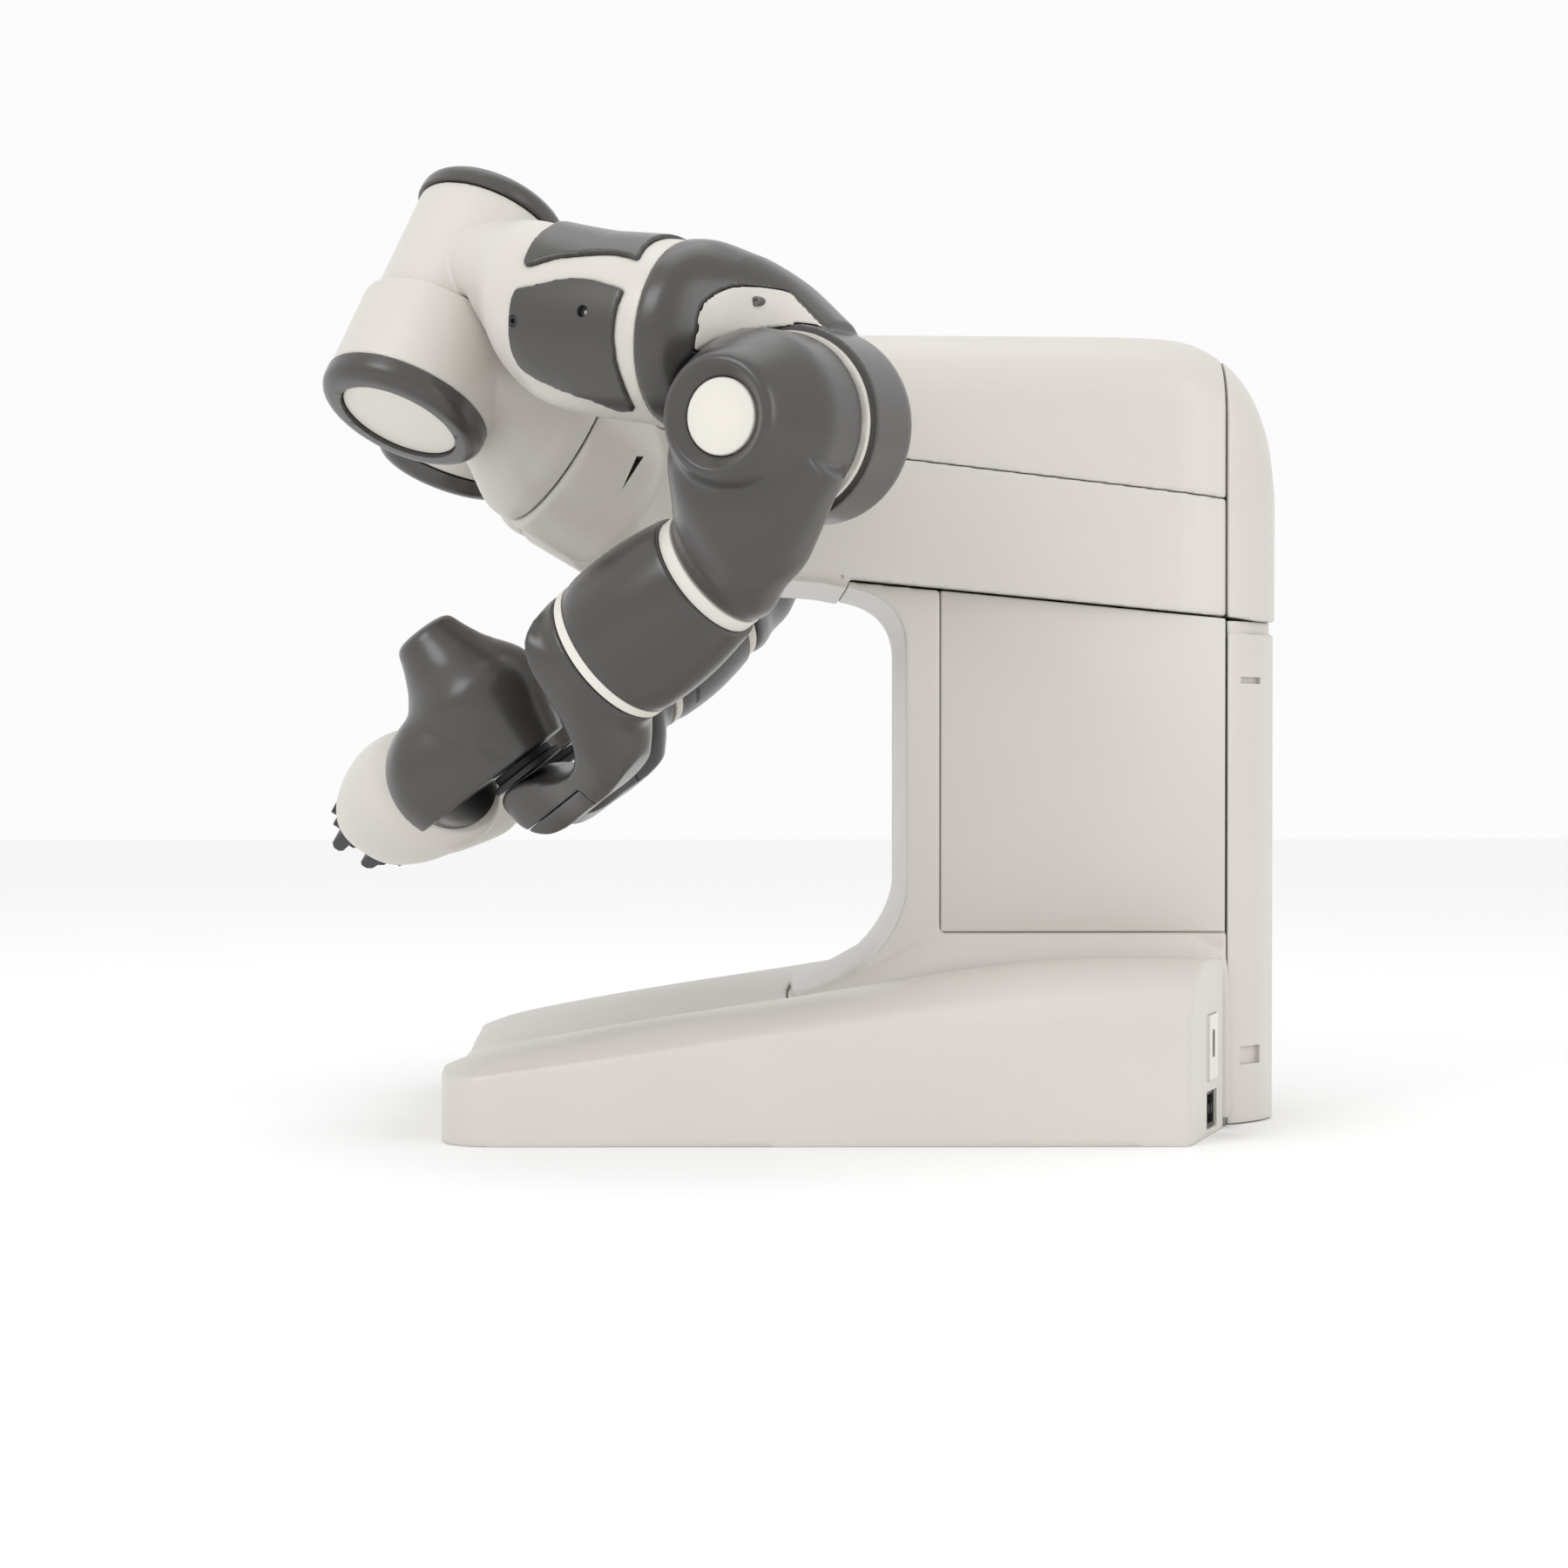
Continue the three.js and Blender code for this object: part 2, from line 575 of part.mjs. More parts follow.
function elbowDisc() {
  return drum(ELBOW.disc, ELBOW.rim + 5.2, ELBOW.rim + 10.6, { edgeFrom: 1.2 });
}

function forearmRingA() {
  const from = FOREARM.ringA + GAP;
  return drum(FOREARM.neck + 0.6, from, from + FOREARM.ringWidth, { edgeFrom: 1 });
}

function forearmDrum() {
  const from = FOREARM.ringA + FOREARM.ringWidth + 2 * GAP;
  const to = FOREARM.ringB - GAP;
  return turned([
    [0, from], [38.4, from], [39.4, from + 1], [41.8, from + 13], [44.2, from + 30],
    [FOREARM.bulge, from + 46], [44.6, to - 8], [FOREARM.end, to], [0, to],
  ]);
}

function forearmRingB() {
  return drum(FOREARM.end + 0.4, FOREARM.ringB, FOREARM.ringEnd, { edgeTo: 1 });
}

function wristHookWhole() {
  const { collar, outer, end } = WRIST_HOOK;
  const side = smooth([
    [collar, 0.6], [41.5, 9], [33, 19], [18, 26], [0, 29], [-17, 32], [-31, 39], [-38.5, 50],
    [-39.5, 64], [-35, 79], [-28.5, 91], [-25, 101], [-25.5, 113], [-31, 122], [-41, 122], [-52, 116],
    [-59.5, 107], [outer, 95], [outer, 70], [outer, 44], [-58, 24], [-50, 8], [-collar, 0.6],
    [-20, -3], [20, -3],
  ], 50);
  const front = tapered("z", [
    [-0.8, [0, 0], [43, 70], 6], [10, [-1, 0], [42, 70], 5], [36, [-4, 0], [35, 74], 4.5],
    [62, [-12, 0], [29, 76], 4.5], [84, [-21, 0], [25, 76], 4], [104, [-26, 0], [23.5, 76], 3.4],
    [118, [-27, 0], [17, 76], 3], [end, [-27, 0], [6, 76], 3],
  ]);
  const room = block([-90, -90, -0.8], [90, 90, 140]);
  return drawn(side, "x", -80, 80).intersect(front).intersect(room).add(drum(collar, -0.8, 12));
}

// The space outside the plane that divides the hook from its lower cover.
function hookCoverRegion(gap) {
  return block([-90, -90, 58 + gap], [90, -50 - gap, 140]);
}

function wristHook() {
  return wristHookWhole().subtract(hookCoverRegion(0));
}

function wristHookCover() {
  return wristHookWhole().intersect(hookCoverRegion(GAP));
}

function wristMotor() {
  const [x, , z] = JOINT_6.at;
  const near = -WRIST.foot - 0.8;
  const far = -24.2;
  const profile = [[0, far], [23, far], [23, near - 5], [19, near - 4.4], [19, near], [0, near]];
  return turned(profile, "y", [x, 0, z]);
}

function wristHousing() {
  const { snout, foot, mouth } = WRIST;
  const cone = turned([
    [0, snout], [12, snout], [17, snout + 1.2], [19.6, snout + 4], [21, snout + 9], [24.4, -63], [29, -54],
    [36, -44.5], [41, -36], [42.4, -27], [41, -14], [36, 0], [30.5, foot + 4], [0, foot + 4],
  ]);
  const front = tapered("y", [
    [-24, [4, -6], [28, 30], 2.1], [-8, [15, -5], [37, 37], 2.1], [8, [24, -4], [41.5, 40.5], 2.1],
    [20, [27, -3], [42, 41]], [36, [27, -1], [40, 39]],
  ]);
  return cone.add(front).intersect(block([-90, -90, -90], [90, mouth, foot]));
}

function toolFlange() {
  return turned([[0, GAP], [24, GAP], [WRIST.flange, 1.6], [WRIST.flange, 7], [0, 7]]);
}

function gripperHousing() {
  const { start, end } = GRIPPER;
  return tapered("z", [
    [start, [0, 0], [29, 33]], [start + 5, [0, 2], [31.5, 38]], [24, [0, 5], [34, 42], 2.1],
    [42, [0, 8], [34.5, 41], 2.2], [60, [1, 10], [33, 38], 2.3], [77, [3, 11.5], [28.5, 32], 2.4],
    [88, [5, 11], [22, 26], 2.5], [end, [6, 10], [15, 20], 2.6],
  ]);
}

// A finger on its carriage. side is +1 or -1 along Y, and reach is its inner face's place.
function finger(side) {
  const { end, fingerEnd } = GRIPPER;
  const inner = 6.4;
  const carriage = block([-9, inner, end + GAP], [9, inner + 18, end + 8]);
  const blade = drawn([
    [inner, end + 5], [inner, fingerEnd - 3], [inner + 1.5, fingerEnd], [inner + 6, fingerEnd],
    [inner + 8.5, fingerEnd - 4], [inner + 10, end + 18], [inner + 14, end + 5],
  ], "x", -6.5, 6.5, 1.5);
  const made = carriage.add(blade);
  return (side > 0 ? made : made.mirror([0, 1, 0])).translate([...GRIPPER.fingerAt, 0]);
}

// ---- Assembly ----
function frameAt(parent, { at, tilt }, degrees) {
  const group = new THREE.Group();
  group.position.set(...at);
  group.quaternion
    .setFromEuler(new THREE.Euler(...tilt, "ZYX"))
    .multiply(new THREE.Quaternion().setFromAxisAngle(new THREE.Vector3(0, 0, 1), (degrees * Math.PI) / 180));
  parent.add(group);
  return group;
}

function arm(parent, tag) {
  const frames = [SHOULDER, JOINT_2, JOINT_3, JOINT_4, JOINT_5, JOINT_6, JOINT_7].reduce(
    (made, joint, i) => [...made, frameAt(made.at(-1) ?? parent, joint, POSE[i])], []);
  const put = (joint, name, made, material) => frames[joint - 1].add(mesh(`${name}_${tag}`, made, material));
  put(1, "shoulder_shell", shoulderShell(), LIGHT);
  put(1, "shoulder_ring", shoulderRing(), DARK);
  put(1, "shoulder_disc", shoulderDisc(), CREAM);
  put(1, "shoulder_motor", shoulderMotor(), STEEL);
  put(2, "upper_arm_shell", upperArmShell(), LIGHT);
  put(2, "upper_arm_cap", upperArmCap(), DARK);
  put(2, "upper_arm_pad_outer", upperArmPad(PAD_OUTER), DARK);
  put(2, "upper_arm_pad_top", upperArmPad(PAD_TOP), DARK);
  put(3, "elbow_hook", elbowHook(), DARK);
  put(3, "elbow_ring", elbowRing(), CREAM);
  put(3, "elbow_liner", elbowLiner(), LIGHT);
  put(4, "elbow_shell", elbowShell(), DARK);
  put(4, "elbow_disc", elbowDisc(), CREAM);
  const forearm = frameAt(frames[3], JOINT_5, 0);
  forearm.add(mesh(`forearm_ring_${tag}`, forearmRingA(), CREAM));
  forearm.add(mesh(`forearm_drum_${tag}`, forearmDrum(), DARK));
  forearm.add(mesh(`wrist_ring_${tag}`, forearmRingB(), CREAM));
  put(5, "wrist_hook", wristHook(), DARK);
  put(5, "wrist_hook_cover", wristHookCover(), DARK);
  put(5, "wrist_motor", wristMotor(), BLACK);
  put(6, "wrist_housing", wristHousing(), DARK);
  put(7, "tool_flange", toolFlange(), STEEL);
  put(7, "gripper_housing", gripperHousing(), LIGHT);
  put(7, "finger_a", finger(1), BLACK);
  put(7, "finger_b", finger(-1), BLACK);
}

function torso(parent) {
  const put = (name, made, material) => parent.add(mesh(name, made, material));
  put("mounting_plate", mountingPlate(), STEEL);
  put("foot_shell", footShell(), LIGHT);
  put("column_shell", columnShell(), LIGHT);
  put("side_panel_left", sidePanel(1), LIGHT);
  put("side_panel_right", sidePanel(-1), LIGHT);
  put("shoulder_casting", shoulderCasting(), LIGHT);
  put("top_cover", topCover(), LIGHT);
  put("rear_cover_top", rearCover(true), LIGHT);
  put("rear_cover_bottom", rearCover(false), LIGHT);
  put("control_unit", controlUnit(), BLACK);
  put("power_supply", powerSupply(), STEEL);
  put("switch_plate", switchPlate(), CREAM);
}

const robot = new THREE.Group();
torso(robot);
arm(robot, "left");
const mirrored = new THREE.Group();
mirrored.scale.y = -1;
robot.add(mirrored);
arm(mirrored, "right");

export default robot;
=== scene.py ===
# Looks of the dual-arm robot: high-resolution shells, trims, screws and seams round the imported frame.
# Pieces are drawn in millimetres, in the frame of the joint that carries them, and end up in metres.
import math
import bmesh
import bpy
from mathutils import Euler, Matrix, Vector


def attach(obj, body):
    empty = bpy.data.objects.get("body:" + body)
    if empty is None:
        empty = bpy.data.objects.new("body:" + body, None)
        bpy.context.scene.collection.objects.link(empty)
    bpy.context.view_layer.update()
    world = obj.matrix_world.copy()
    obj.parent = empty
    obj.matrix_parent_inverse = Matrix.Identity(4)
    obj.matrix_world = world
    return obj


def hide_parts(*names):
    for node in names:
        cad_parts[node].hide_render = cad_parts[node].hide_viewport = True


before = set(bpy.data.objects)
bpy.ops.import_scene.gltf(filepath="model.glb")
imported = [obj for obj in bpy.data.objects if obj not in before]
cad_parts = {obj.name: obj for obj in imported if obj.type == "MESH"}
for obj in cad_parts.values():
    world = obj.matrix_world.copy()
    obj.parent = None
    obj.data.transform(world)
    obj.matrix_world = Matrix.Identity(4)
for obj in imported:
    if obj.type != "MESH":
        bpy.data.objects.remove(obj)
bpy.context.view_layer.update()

# ---- Driving dimensions, in millimetres and degrees ----
MM = 0.001
GAP = 0.4
SIDES = 96
HALF = math.pi / 2

JOINTS = [
    ((53.55, 72.5, 414.92), (0.9781, -0.5716, 2.318)),
    ((30, 0, 100), (HALF, 0, 0)),
    ((-30, 172.83, 0), (-HALF, 0, 0)),
    ((-41.88, 0, 78.73), (HALF, -HALF, 0)),
    ((40.5, 164.61, 0), (-HALF, 0, 0)),
    ((-27, 0, 100.39), (HALF, 0, 0)),
    ((27, 29, 0), (-HALF, 0, 0)),
]
POSE = [-27, -127, 121, 48.5, 74, 30, -23]

FOOT = {"front": 117, "back": -309, "half": 197, "plate": 6, "crown": 104}
FOOT_CORNER = {"at": (-331, 139), "run": 88, "rise": 31, "socket": 15.5, "switch": 52, "rocker": 54}
COLUMN = {"front": -155, "toe": -86, "back": -348, "rear": -382, "half": 90, "middle": -245}
REAR_SEAM = {"height": 304, "step": 296}
SEAM = {"at_back": 306, "at_front": 328, "front": -120, "gap": 1.2}
COVER_SEAM = {"at_back": 377, "at_front": 403}
BODY_TOP = 478
SHOULDER_RADIUS = 59
BARREL = {"radius": 49, "ring": 49.8, "near": 46, "end": 60.5, "disc": 35.5, "top": 7.4}
UPPER = {"radius": 44, "near": 8.4, "far": 79, "cap": 46, "end": 97}
ARM = {"radius": 51, "end": 182, "middle": -30, "pad_rise": 2.4}
ELBOW = {
    "start": 9.5, "drum": 54, "back": 58, "ring": 50, "rim": -74, "rim_radius": 30, "disc": 20.5, "liner": 38,
}
FOREARM = {
    "neck": 36, "ring_a": -86, "ring_width": 8, "ring_b": -7.5, "ring_end": -1.6, "bulge": 45, "end": 43,
}
HOOK = {"collar": 42.5, "outer": -62.5, "end": 126, "cover_y": -50, "cover_z": 58}
WRIST = {"snout": -80, "foot": 14.6, "mouth": 28.6, "flange": 28}
GRIPPER = {"start": 7.4, "end": 94, "finger_end": 134, "finger_at": (6, 10)}
SCREW = {"hole": 3.4, "head": 3.1, "seat": 50.2, "sides": 32}
LINER_SCREW = {"at": (21.3, 0, 57), "head": 2.7, "socket": 1.4}


def step_matrix(index):
    """The turn and offset from one joint's frame to the next one, before the joint itself turns."""
    at, tilt = JOINTS[index]
    return Matrix.Translation(at) @ Euler(tilt, "XYZ").to_matrix().to_4x4()


def joint_frames():
    """The seven joint frames of the left arm at rest, in millimetres."""
    made = []
    matrix = Matrix.Identity(4)
    for index, turn in enumerate(POSE):
        matrix = matrix @ step_matrix(index) @ Matrix.Rotation(math.radians(turn), 4, "Z")
        made.append(matrix.copy())
    return made


FRAMES = joint_frames()


# ---- Solids: temporary objects in millimetres ----
def solid(vertices, faces):
    mesh = bpy.data.meshes.new("work")
    mesh.from_pydata([tuple(v) for v in vertices], [], faces)
    work = bmesh.new()
    work.from_mesh(mesh)
    bmesh.ops.remove_doubles(work, verts=work.verts, dist=1e-4)
    bmesh.ops.recalc_face_normals(work, faces=work.faces)
    bmesh.ops.triangulate(work, faces=work.faces)
    work.to_mesh(mesh)
    work.free()
    made = bpy.data.objects.new("work", mesh)
    bpy.context.scene.collection.objects.link(made)
    return made


def applied(made):
    """Replaces an object's mesh with its evaluated one, and drops the modifiers."""
    graph = bpy.context.evaluated_depsgraph_get()
    mesh = bpy.data.meshes.new_from_object(made.evaluated_get(graph))
    old = made.data
    made.modifiers.clear()
    made.data = mesh
    bpy.data.meshes.remove(old)
    return made


def boolean(base, other, operation):
    modifier = base.modifiers.new("cut", "BOOLEAN")
    modifier.operation = operation
    modifier.solver = "MANIFOLD"
    modifier.object = other
    applied(base)
    bpy.data.objects.remove(other)
    return base


def join(base, *others):
    for other in others:
        boolean(base, other, "UNION")
    return base


def cut(base, *others):
    for other in others:
        boolean(base, other, "DIFFERENCE")
    return base


def common(base, other):
    return boolean(base, other, "INTERSECT")


def moved(made, matrix):
    made.data.transform(matrix)
    if matrix.determinant() < 0:
        made.data.flip_normals()
    return made


AXIS_TURN = {
    "z": Matrix.Identity(4),
    "y": Matrix.Rotation(-HALF, 4, "X"),
    "x": Matrix.Rotation(HALF, 4, "Y"),
}


def turned(profile, axis="z", at=(0, 0, 0), sides=SIDES):
    """A turned solid from [radius, distance along the axis] points, on the axis at both ends."""
    rings = []
    vertices = []
    for radius, along in profile:
        if radius < 1e-6:
            rings.append([len(vertices)] * sides)
            vertices.append((0, 0, along))
            continue
        rings.append(list(range(len(vertices), len(vertices) + sides)))
        for i in range(sides):
            a = 2 * math.pi * i / sides
            vertices.append((radius * math.cos(a), radius * math.sin(a), along))
    faces = []
    for low, high in zip(rings, rings[1:]):
        for i in range(sides):
            j = (i + 1) % sides
            corners = list(dict.fromkeys([low[i], low[j], high[j], high[i]]))
            if len(corners) > 2:
                faces.append(corners)
    return moved(solid(vertices, faces), Matrix.Translation(at) @ AXIS_TURN[axis])


def drum(radius, start, end, axis="z", at=(0, 0, 0), edge_start=0.0, edge_end=0.0, sides=SIDES):
    """A drum along an axis, with its two edges rounded by the given radii."""
    def arc(edge, where, sign):
        if edge == 0:
            return [(radius, where)]
        angles = [HALF * i / 8 for i in range(9)]
        return [(radius - edge * (1 - math.sin(a)), where + sign * edge * (1 - math.cos(a))) for a in angles]

    profile = [(0, start), *arc(edge_start, start, 1), *reversed(arc(edge_end, end, -1)), (0, end)]
    return turned(profile, axis, at, sides)


def ring(outer, inner, start, end, axis="z", at=(0, 0, 0), edge_start=0.0):
    hole = drum(inner, start - 5, end + 5, axis, at)
    return cut(drum(outer, start, end, axis, at, edge_start), hole)


def block(low, high):
    x, y, z = [sorted(pair) for pair in zip(low, high)]
    corners = [(x[i & 1], y[i >> 1 & 1], z[i >> 2 & 1]) for i in range(8)]
    faces = [(0, 2, 3, 1), (4, 5, 7, 6), (0, 1, 5, 4), (2, 6, 7, 3), (0, 4, 6, 2), (1, 3, 7, 5)]
    return solid(corners, faces)


def skin(rings):
    """A closed skin over rings that all have the same number of points."""
    count = len(rings[0])
    vertices = [p for r in rings for p in r]
    faces = []
    for r in range(len(rings) - 1):
        for i in range(count):
            a = r * count + i
            b = r * count + (i + 1) % count
            faces.append((a, b, b + count, a + count))
    for start, order in ((0, -1), ((len(rings) - 1) * count, 1)):
        hub = len(vertices)
        outline = vertices[start:start + count]
        vertices.append(tuple(sum(p[k] for p in outline) / count for k in range(3)))
        for i in range(count):
            faces.append((hub, start + i, start + (i + 1) % count)[::order])
    return solid(vertices, faces)


def curve_weights(t):
    """The weights of a curve piece's start, start slope, end and end slope, at t from 0 to 1."""
    return (2 * t**3 - 3 * t**2 + 1, t**3 - 2 * t**2 + t, 3 * t**2 - 2 * t**3, t**3 - t**2)


def spread(rows, steps):
    """Rows of numbers with smooth in-between rows, each column following a monotone curve."""
    made = []
    for i in range(len(rows) - 1):
        before, a, b, after = rows[max(i - 1, 0)], rows[i], rows[i + 1], rows[min(i + 2, len(rows) - 1)]
        for s in range(steps):
            t = s / steps
            row = []
            for k in range(len(a)):
                span = b[k] - a[k]
                slope_a = (b[k] - before[k]) / 2 if i > 0 else span
                slope_b = (after[k] - a[k]) / 2 if i + 2 < len(rows) else span
                if span == 0 or slope_a * span < 0:
                    slope_a = 0
                if span == 0 or slope_b * span < 0:
                    slope_b = 0
                slope_a = max(-3 * abs(span), min(3 * abs(span), slope_a))
                slope_b = max(-3 * abs(span), min(3 * abs(span), slope_b))
                h = curve_weights(t)
                row.append(h[0] * a[k] + h[1] * slope_a + h[2] * b[k] + h[3] * slope_b)
            made.append(row)
    made.append(list(rows[-1]))
    return made


def oval(axis, along, centre, radii, power):
    """An oval's points: power 2 gives an ellipse, and a higher power a squarer shape."""
    def bend(v):
        return math.copysign(abs(v) ** (2 / power), v)

    points = []
    for i in range(SIDES):
        a = 2 * math.pi * i / SIDES
        u = centre[0] + radii[0] * bend(math.cos(a))
        v = centre[1] + radii[1] * bend(math.sin(a))
        points.append((u, v, along) if axis == "z" else (u, along, v))
    return points


def tapered(axis, ovals):
    """A tapering body through ovals, each (along, centre, radii) and, when not 2, a power."""
    rows = [[o[0], *o[1], *o[2], o[3] if len(o) > 3 else 2.0] for o in ovals]
    return skin([oval(axis, r[0], r[1:3], r[3:5], r[5]) for r in spread(rows, 6)])


def skin_open(rings):
    """Two matching rings joined round, each closed by one many-sided face."""
    count = len(rings[0])
    faces = [tuple(range(count)), tuple(range(2 * count - 1, count - 1, -1))]
    faces += [(i, (i + 1) % count, count + (i + 1) % count, count + i) for i in range(count)]
    return solid(rings[0] + rings[1], faces)


def drawn(outline, axis, start, end):
    """An outline of (u, v) points drawn out along an axis: x, y for z; x, z for y; y, z for x."""
    orders = {
        "z": lambda u, v, w: (u, v, w),
        "y": lambda u, v, w: (u, w, v),
        "x": lambda u, v, w: (w, u, v),
    }
    order = orders[axis]
    return skin_open([[order(u, v, w) for u, v in outline] for w in (start, end)])


def smooth(points, steps=12):
    """A smooth closed outline through given points (centripetal Catmull-Rom)."""
    made = []
    count = len(points)
    for i in range(count):
        p = [Vector(points[(i + k) % count]).to_2d() for k in (-1, 0, 1, 2)]
        knots = [0.0]
        for a, b in zip(p, p[1:]):
            knots.append(knots[-1] + max((b - a).length, 1e-6) ** 0.5)
        for s in range(steps):
            t = knots[1] + (knots[2] - knots[1]) * s / steps
            a = [p[k].lerp(p[k + 1], (t - knots[k]) / (knots[k + 1] - knots[k])) for k in range(3)]
            b = [a[k].lerp(a[k + 1], (t - knots[k]) / (knots[k + 2] - knots[k])) for k in range(2)]
            c = b[0].lerp(b[1], (t - knots[1]) / (knots[2] - knots[1]))
            made.append((c.x, c.y))
    return made


# ---- Finishing ----
def soften(made, voxel, passes):
    """Turns a sharp solid into a moulded one: an even mesh whose edges and joins are rounded."""
    remesh = made.modifiers.new("even", "REMESH")
    remesh.mode = "VOXEL"
    remesh.voxel_size = voxel
    applied(made)
    relax = made.modifiers.new("relax", "SMOOTH")
    relax.factor = 0.5
    relax.iterations = passes
    return applied(made)


def bevelled(made, width):
    """Rounds the hard edges of a clean turned or drawn solid."""
    bevel = made.modifiers.new("bevel", "BEVEL")
    bevel.width = width
    bevel.segments = 3
    bevel.limit_method = "ANGLE"
    bevel.angle_limit = math.radians(30)
    return applied(made)


def finished(made, name, body, paint, nodes=()):
    """Scales a piece to metres, names it, paints it and hands it to its body."""
    made.data.transform(Matrix.Scale(MM, 4))
    made.name = name
    made.data.name = name
    made.data.materials.clear()
    made.data.materials.append(paint)
    made.data.shade_smooth()
    made.data.set_sharp_from_angle(angle=math.radians(35))
    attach(made, body)
    if nodes:
        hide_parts(*nodes)
    return made


def copied(made):
    twin = bpy.data.objects.new("work", made.data.copy())
    bpy.context.scene.collection.objects.link(twin)
    return twin


MIRROR = Matrix.Scale(-1, 4, Vector((0, 1, 0)))


def arm_pair(joint_frame, body, name, made, paint, nodes=()):
    """Places a piece drawn in a joint's frame on the left arm, and its mirror image on the right arm."""
    moved(made, joint_frame)
    twin = moved(copied(made), MIRROR)
    for side, piece in (("left", made), ("right", twin)):
        replaced = [f"{node}_{side}" for node in nodes]
        finished(piece, f"{side}_{name}", f"{side}_{body}", paint, replaced)


# ---- Materials ----
def new_material(name):
    made = bpy.data.materials.new(name)
    made.use_nodes = True
    nodes = made.node_tree.nodes
    return made, nodes, made.node_tree.links, nodes["Principled BSDF"]


def noise(nodes, links, coordinates, scale, detail=3.0, rough=0.5):
    made = nodes.new("ShaderNodeTexNoise")
    made.inputs["Scale"].default_value = scale
    made.inputs["Detail"].default_value = detail
    made.inputs["Roughness"].default_value = rough
    links.new(coordinates.outputs["Object"], made.inputs["Vector"])
    return made


def ramp(nodes, links, source, stops):
    made = nodes.new("ShaderNodeValToRGB")
    made.color_ramp.elements[0].position, made.color_ramp.elements[0].color = stops[0]
    made.color_ramp.elements[1].position, made.color_ramp.elements[1].color = stops[-1]
    for position, color in stops[1:-1]:
        made.color_ramp.elements.new(position).color = color
    links.new(source, made.inputs["Fac"])
    return made


def grey(value):
    return (value, value, value, 1)


def shaded(color, factor):
    return tuple(c * factor for c in color) + (1,)


def moulded(name, color, roughness, spread_rough, grain, strength, tone, coat=0.0, metal=0.0):
    """Moulded, painted or machined skin: slow tone drift, cloudy gloss, fine specks and a fine grain."""
    made, nodes, links, shader = new_material(name)
    coordinates = nodes.new("ShaderNodeTexCoord")
    drift = noise(nodes, links, coordinates, 7.0, 2.0)
    tones = ramp(nodes, links, drift.outputs["Fac"], [
        (0.3, shaded(color, 1 - tone)), (0.5, shaded(color, 1.0)), (0.7, shaded(color, 1 + tone)),
    ])
    fine = noise(nodes, links, coordinates, grain, 4.0, 0.6)
    speck = nodes.new("ShaderNodeMix")
    speck.data_type = "RGBA"
    speck.blend_type = "MULTIPLY"
    speck.inputs["Factor"].default_value = 0.5
    links.new(tones.outputs["Color"], speck.inputs["A"])
    flecks = ramp(nodes, links, fine.outputs["Fac"], [(0.3, grey(1 - 2 * tone)), (0.7, grey(1.0))])
    links.new(flecks.outputs["Color"], speck.inputs["B"])
    links.new(speck.outputs["Result"], shader.inputs["Base Color"])
    cloud = noise(nodes, links, coordinates, 22.0, 5.0, 0.6)
    gloss = nodes.new("ShaderNodeMapRange")
    gloss.inputs["To Min"].default_value = roughness - spread_rough
    gloss.inputs["To Max"].default_value = roughness + spread_rough
    links.new(cloud.outputs["Fac"], gloss.inputs["Value"])
    links.new(gloss.outputs["Result"], shader.inputs["Roughness"])
    bump = nodes.new("ShaderNodeBump")
    bump.inputs["Strength"].default_value = strength
    bump.inputs["Distance"].default_value = 0.0002
    links.new(fine.outputs["Fac"], bump.inputs["Height"])
    links.new(bump.outputs["Normal"], shader.inputs["Normal"])
    shader.inputs["Metallic"].default_value = metal
    shader.inputs["Coat Weight"].default_value = coat
    shader.inputs["Coat Roughness"].default_value = 0.25
    return made


LIGHT = moulded("light_moulding", (0.60, 0.57, 0.525), 0.36, 0.05, 900, 0.10, 0.02, 0.15)
DARK = moulded("dark_moulding", (0.050, 0.047, 0.044), 0.30, 0.04, 700, 0.12, 0.05, 0.30)
CREAM = moulded("cream_trim", (0.74, 0.71, 0.65), 0.42, 0.05, 800, 0.10, 0.02)
BLACK = moulded("black_plastic", (0.018, 0.018, 0.019), 0.48, 0.08, 650, 0.25, 0.08)
METAL = moulded("machined_metal", (0.17, 0.165, 0.16), 0.36, 0.06, 500, 0.15, 0.05, 0.0, 1.0)
PLATE = moulded("painted_plate", (0.20, 0.20, 0.20), 0.50, 0.08, 420, 0.25, 0.05, 0.0, 0.3)
FLOOR = moulded("floor", (0.94, 0.94, 0.94), 0.80, 0.03, 60, 0.02, 0.005)


# ---- Torso ----
def seam_height(x, seam):
    share = (x - COLUMN["back"]) / (SEAM["front"] - COLUMN["back"])
    return seam["at_back"] + share * (seam["at_front"] - seam["at_back"])


def mirrored_outline(left):
    return left + [(x, -y) for x, y in reversed(left)]


def foot_outline(inset=0.0):
    half = FOOT["half"] - inset
    front, back, rear = FOOT["front"] - inset, FOOT["back"] + inset, COLUMN["rear"] + inset
    corner = 32
    left = [(rear, 52 - inset), (rear + 14, 76 - inset), (back - 35, 104 - inset), (back - 4, half - 5),
            (back, half)]
    for i in range(9):
        a = HALF * i / 8
        left.append((front - corner + corner * math.sin(a), half - 3 - corner + corner * math.cos(a)))
    return mirrored_outline(left)


def foot_section(x, wall, crown, middle):
    half = FOOT["half"] + 3
    rise = crown - wall
    side = [
        (half, 0), (half, wall * 0.5), (half, wall - 5), (half - 3, wall), (half - 14, wall + 0.4 * rise),
        (half - 34, wall + 0.8 * rise), (half - 58, crown), (half - 88, crown - 2),
        (half - 118, (crown + middle) / 2), (40, middle),
    ]
    fine = spread(side, 3)
    return [(x, y, z) for y, z in fine] + [(x, -y, z) for y, z in reversed(fine)]


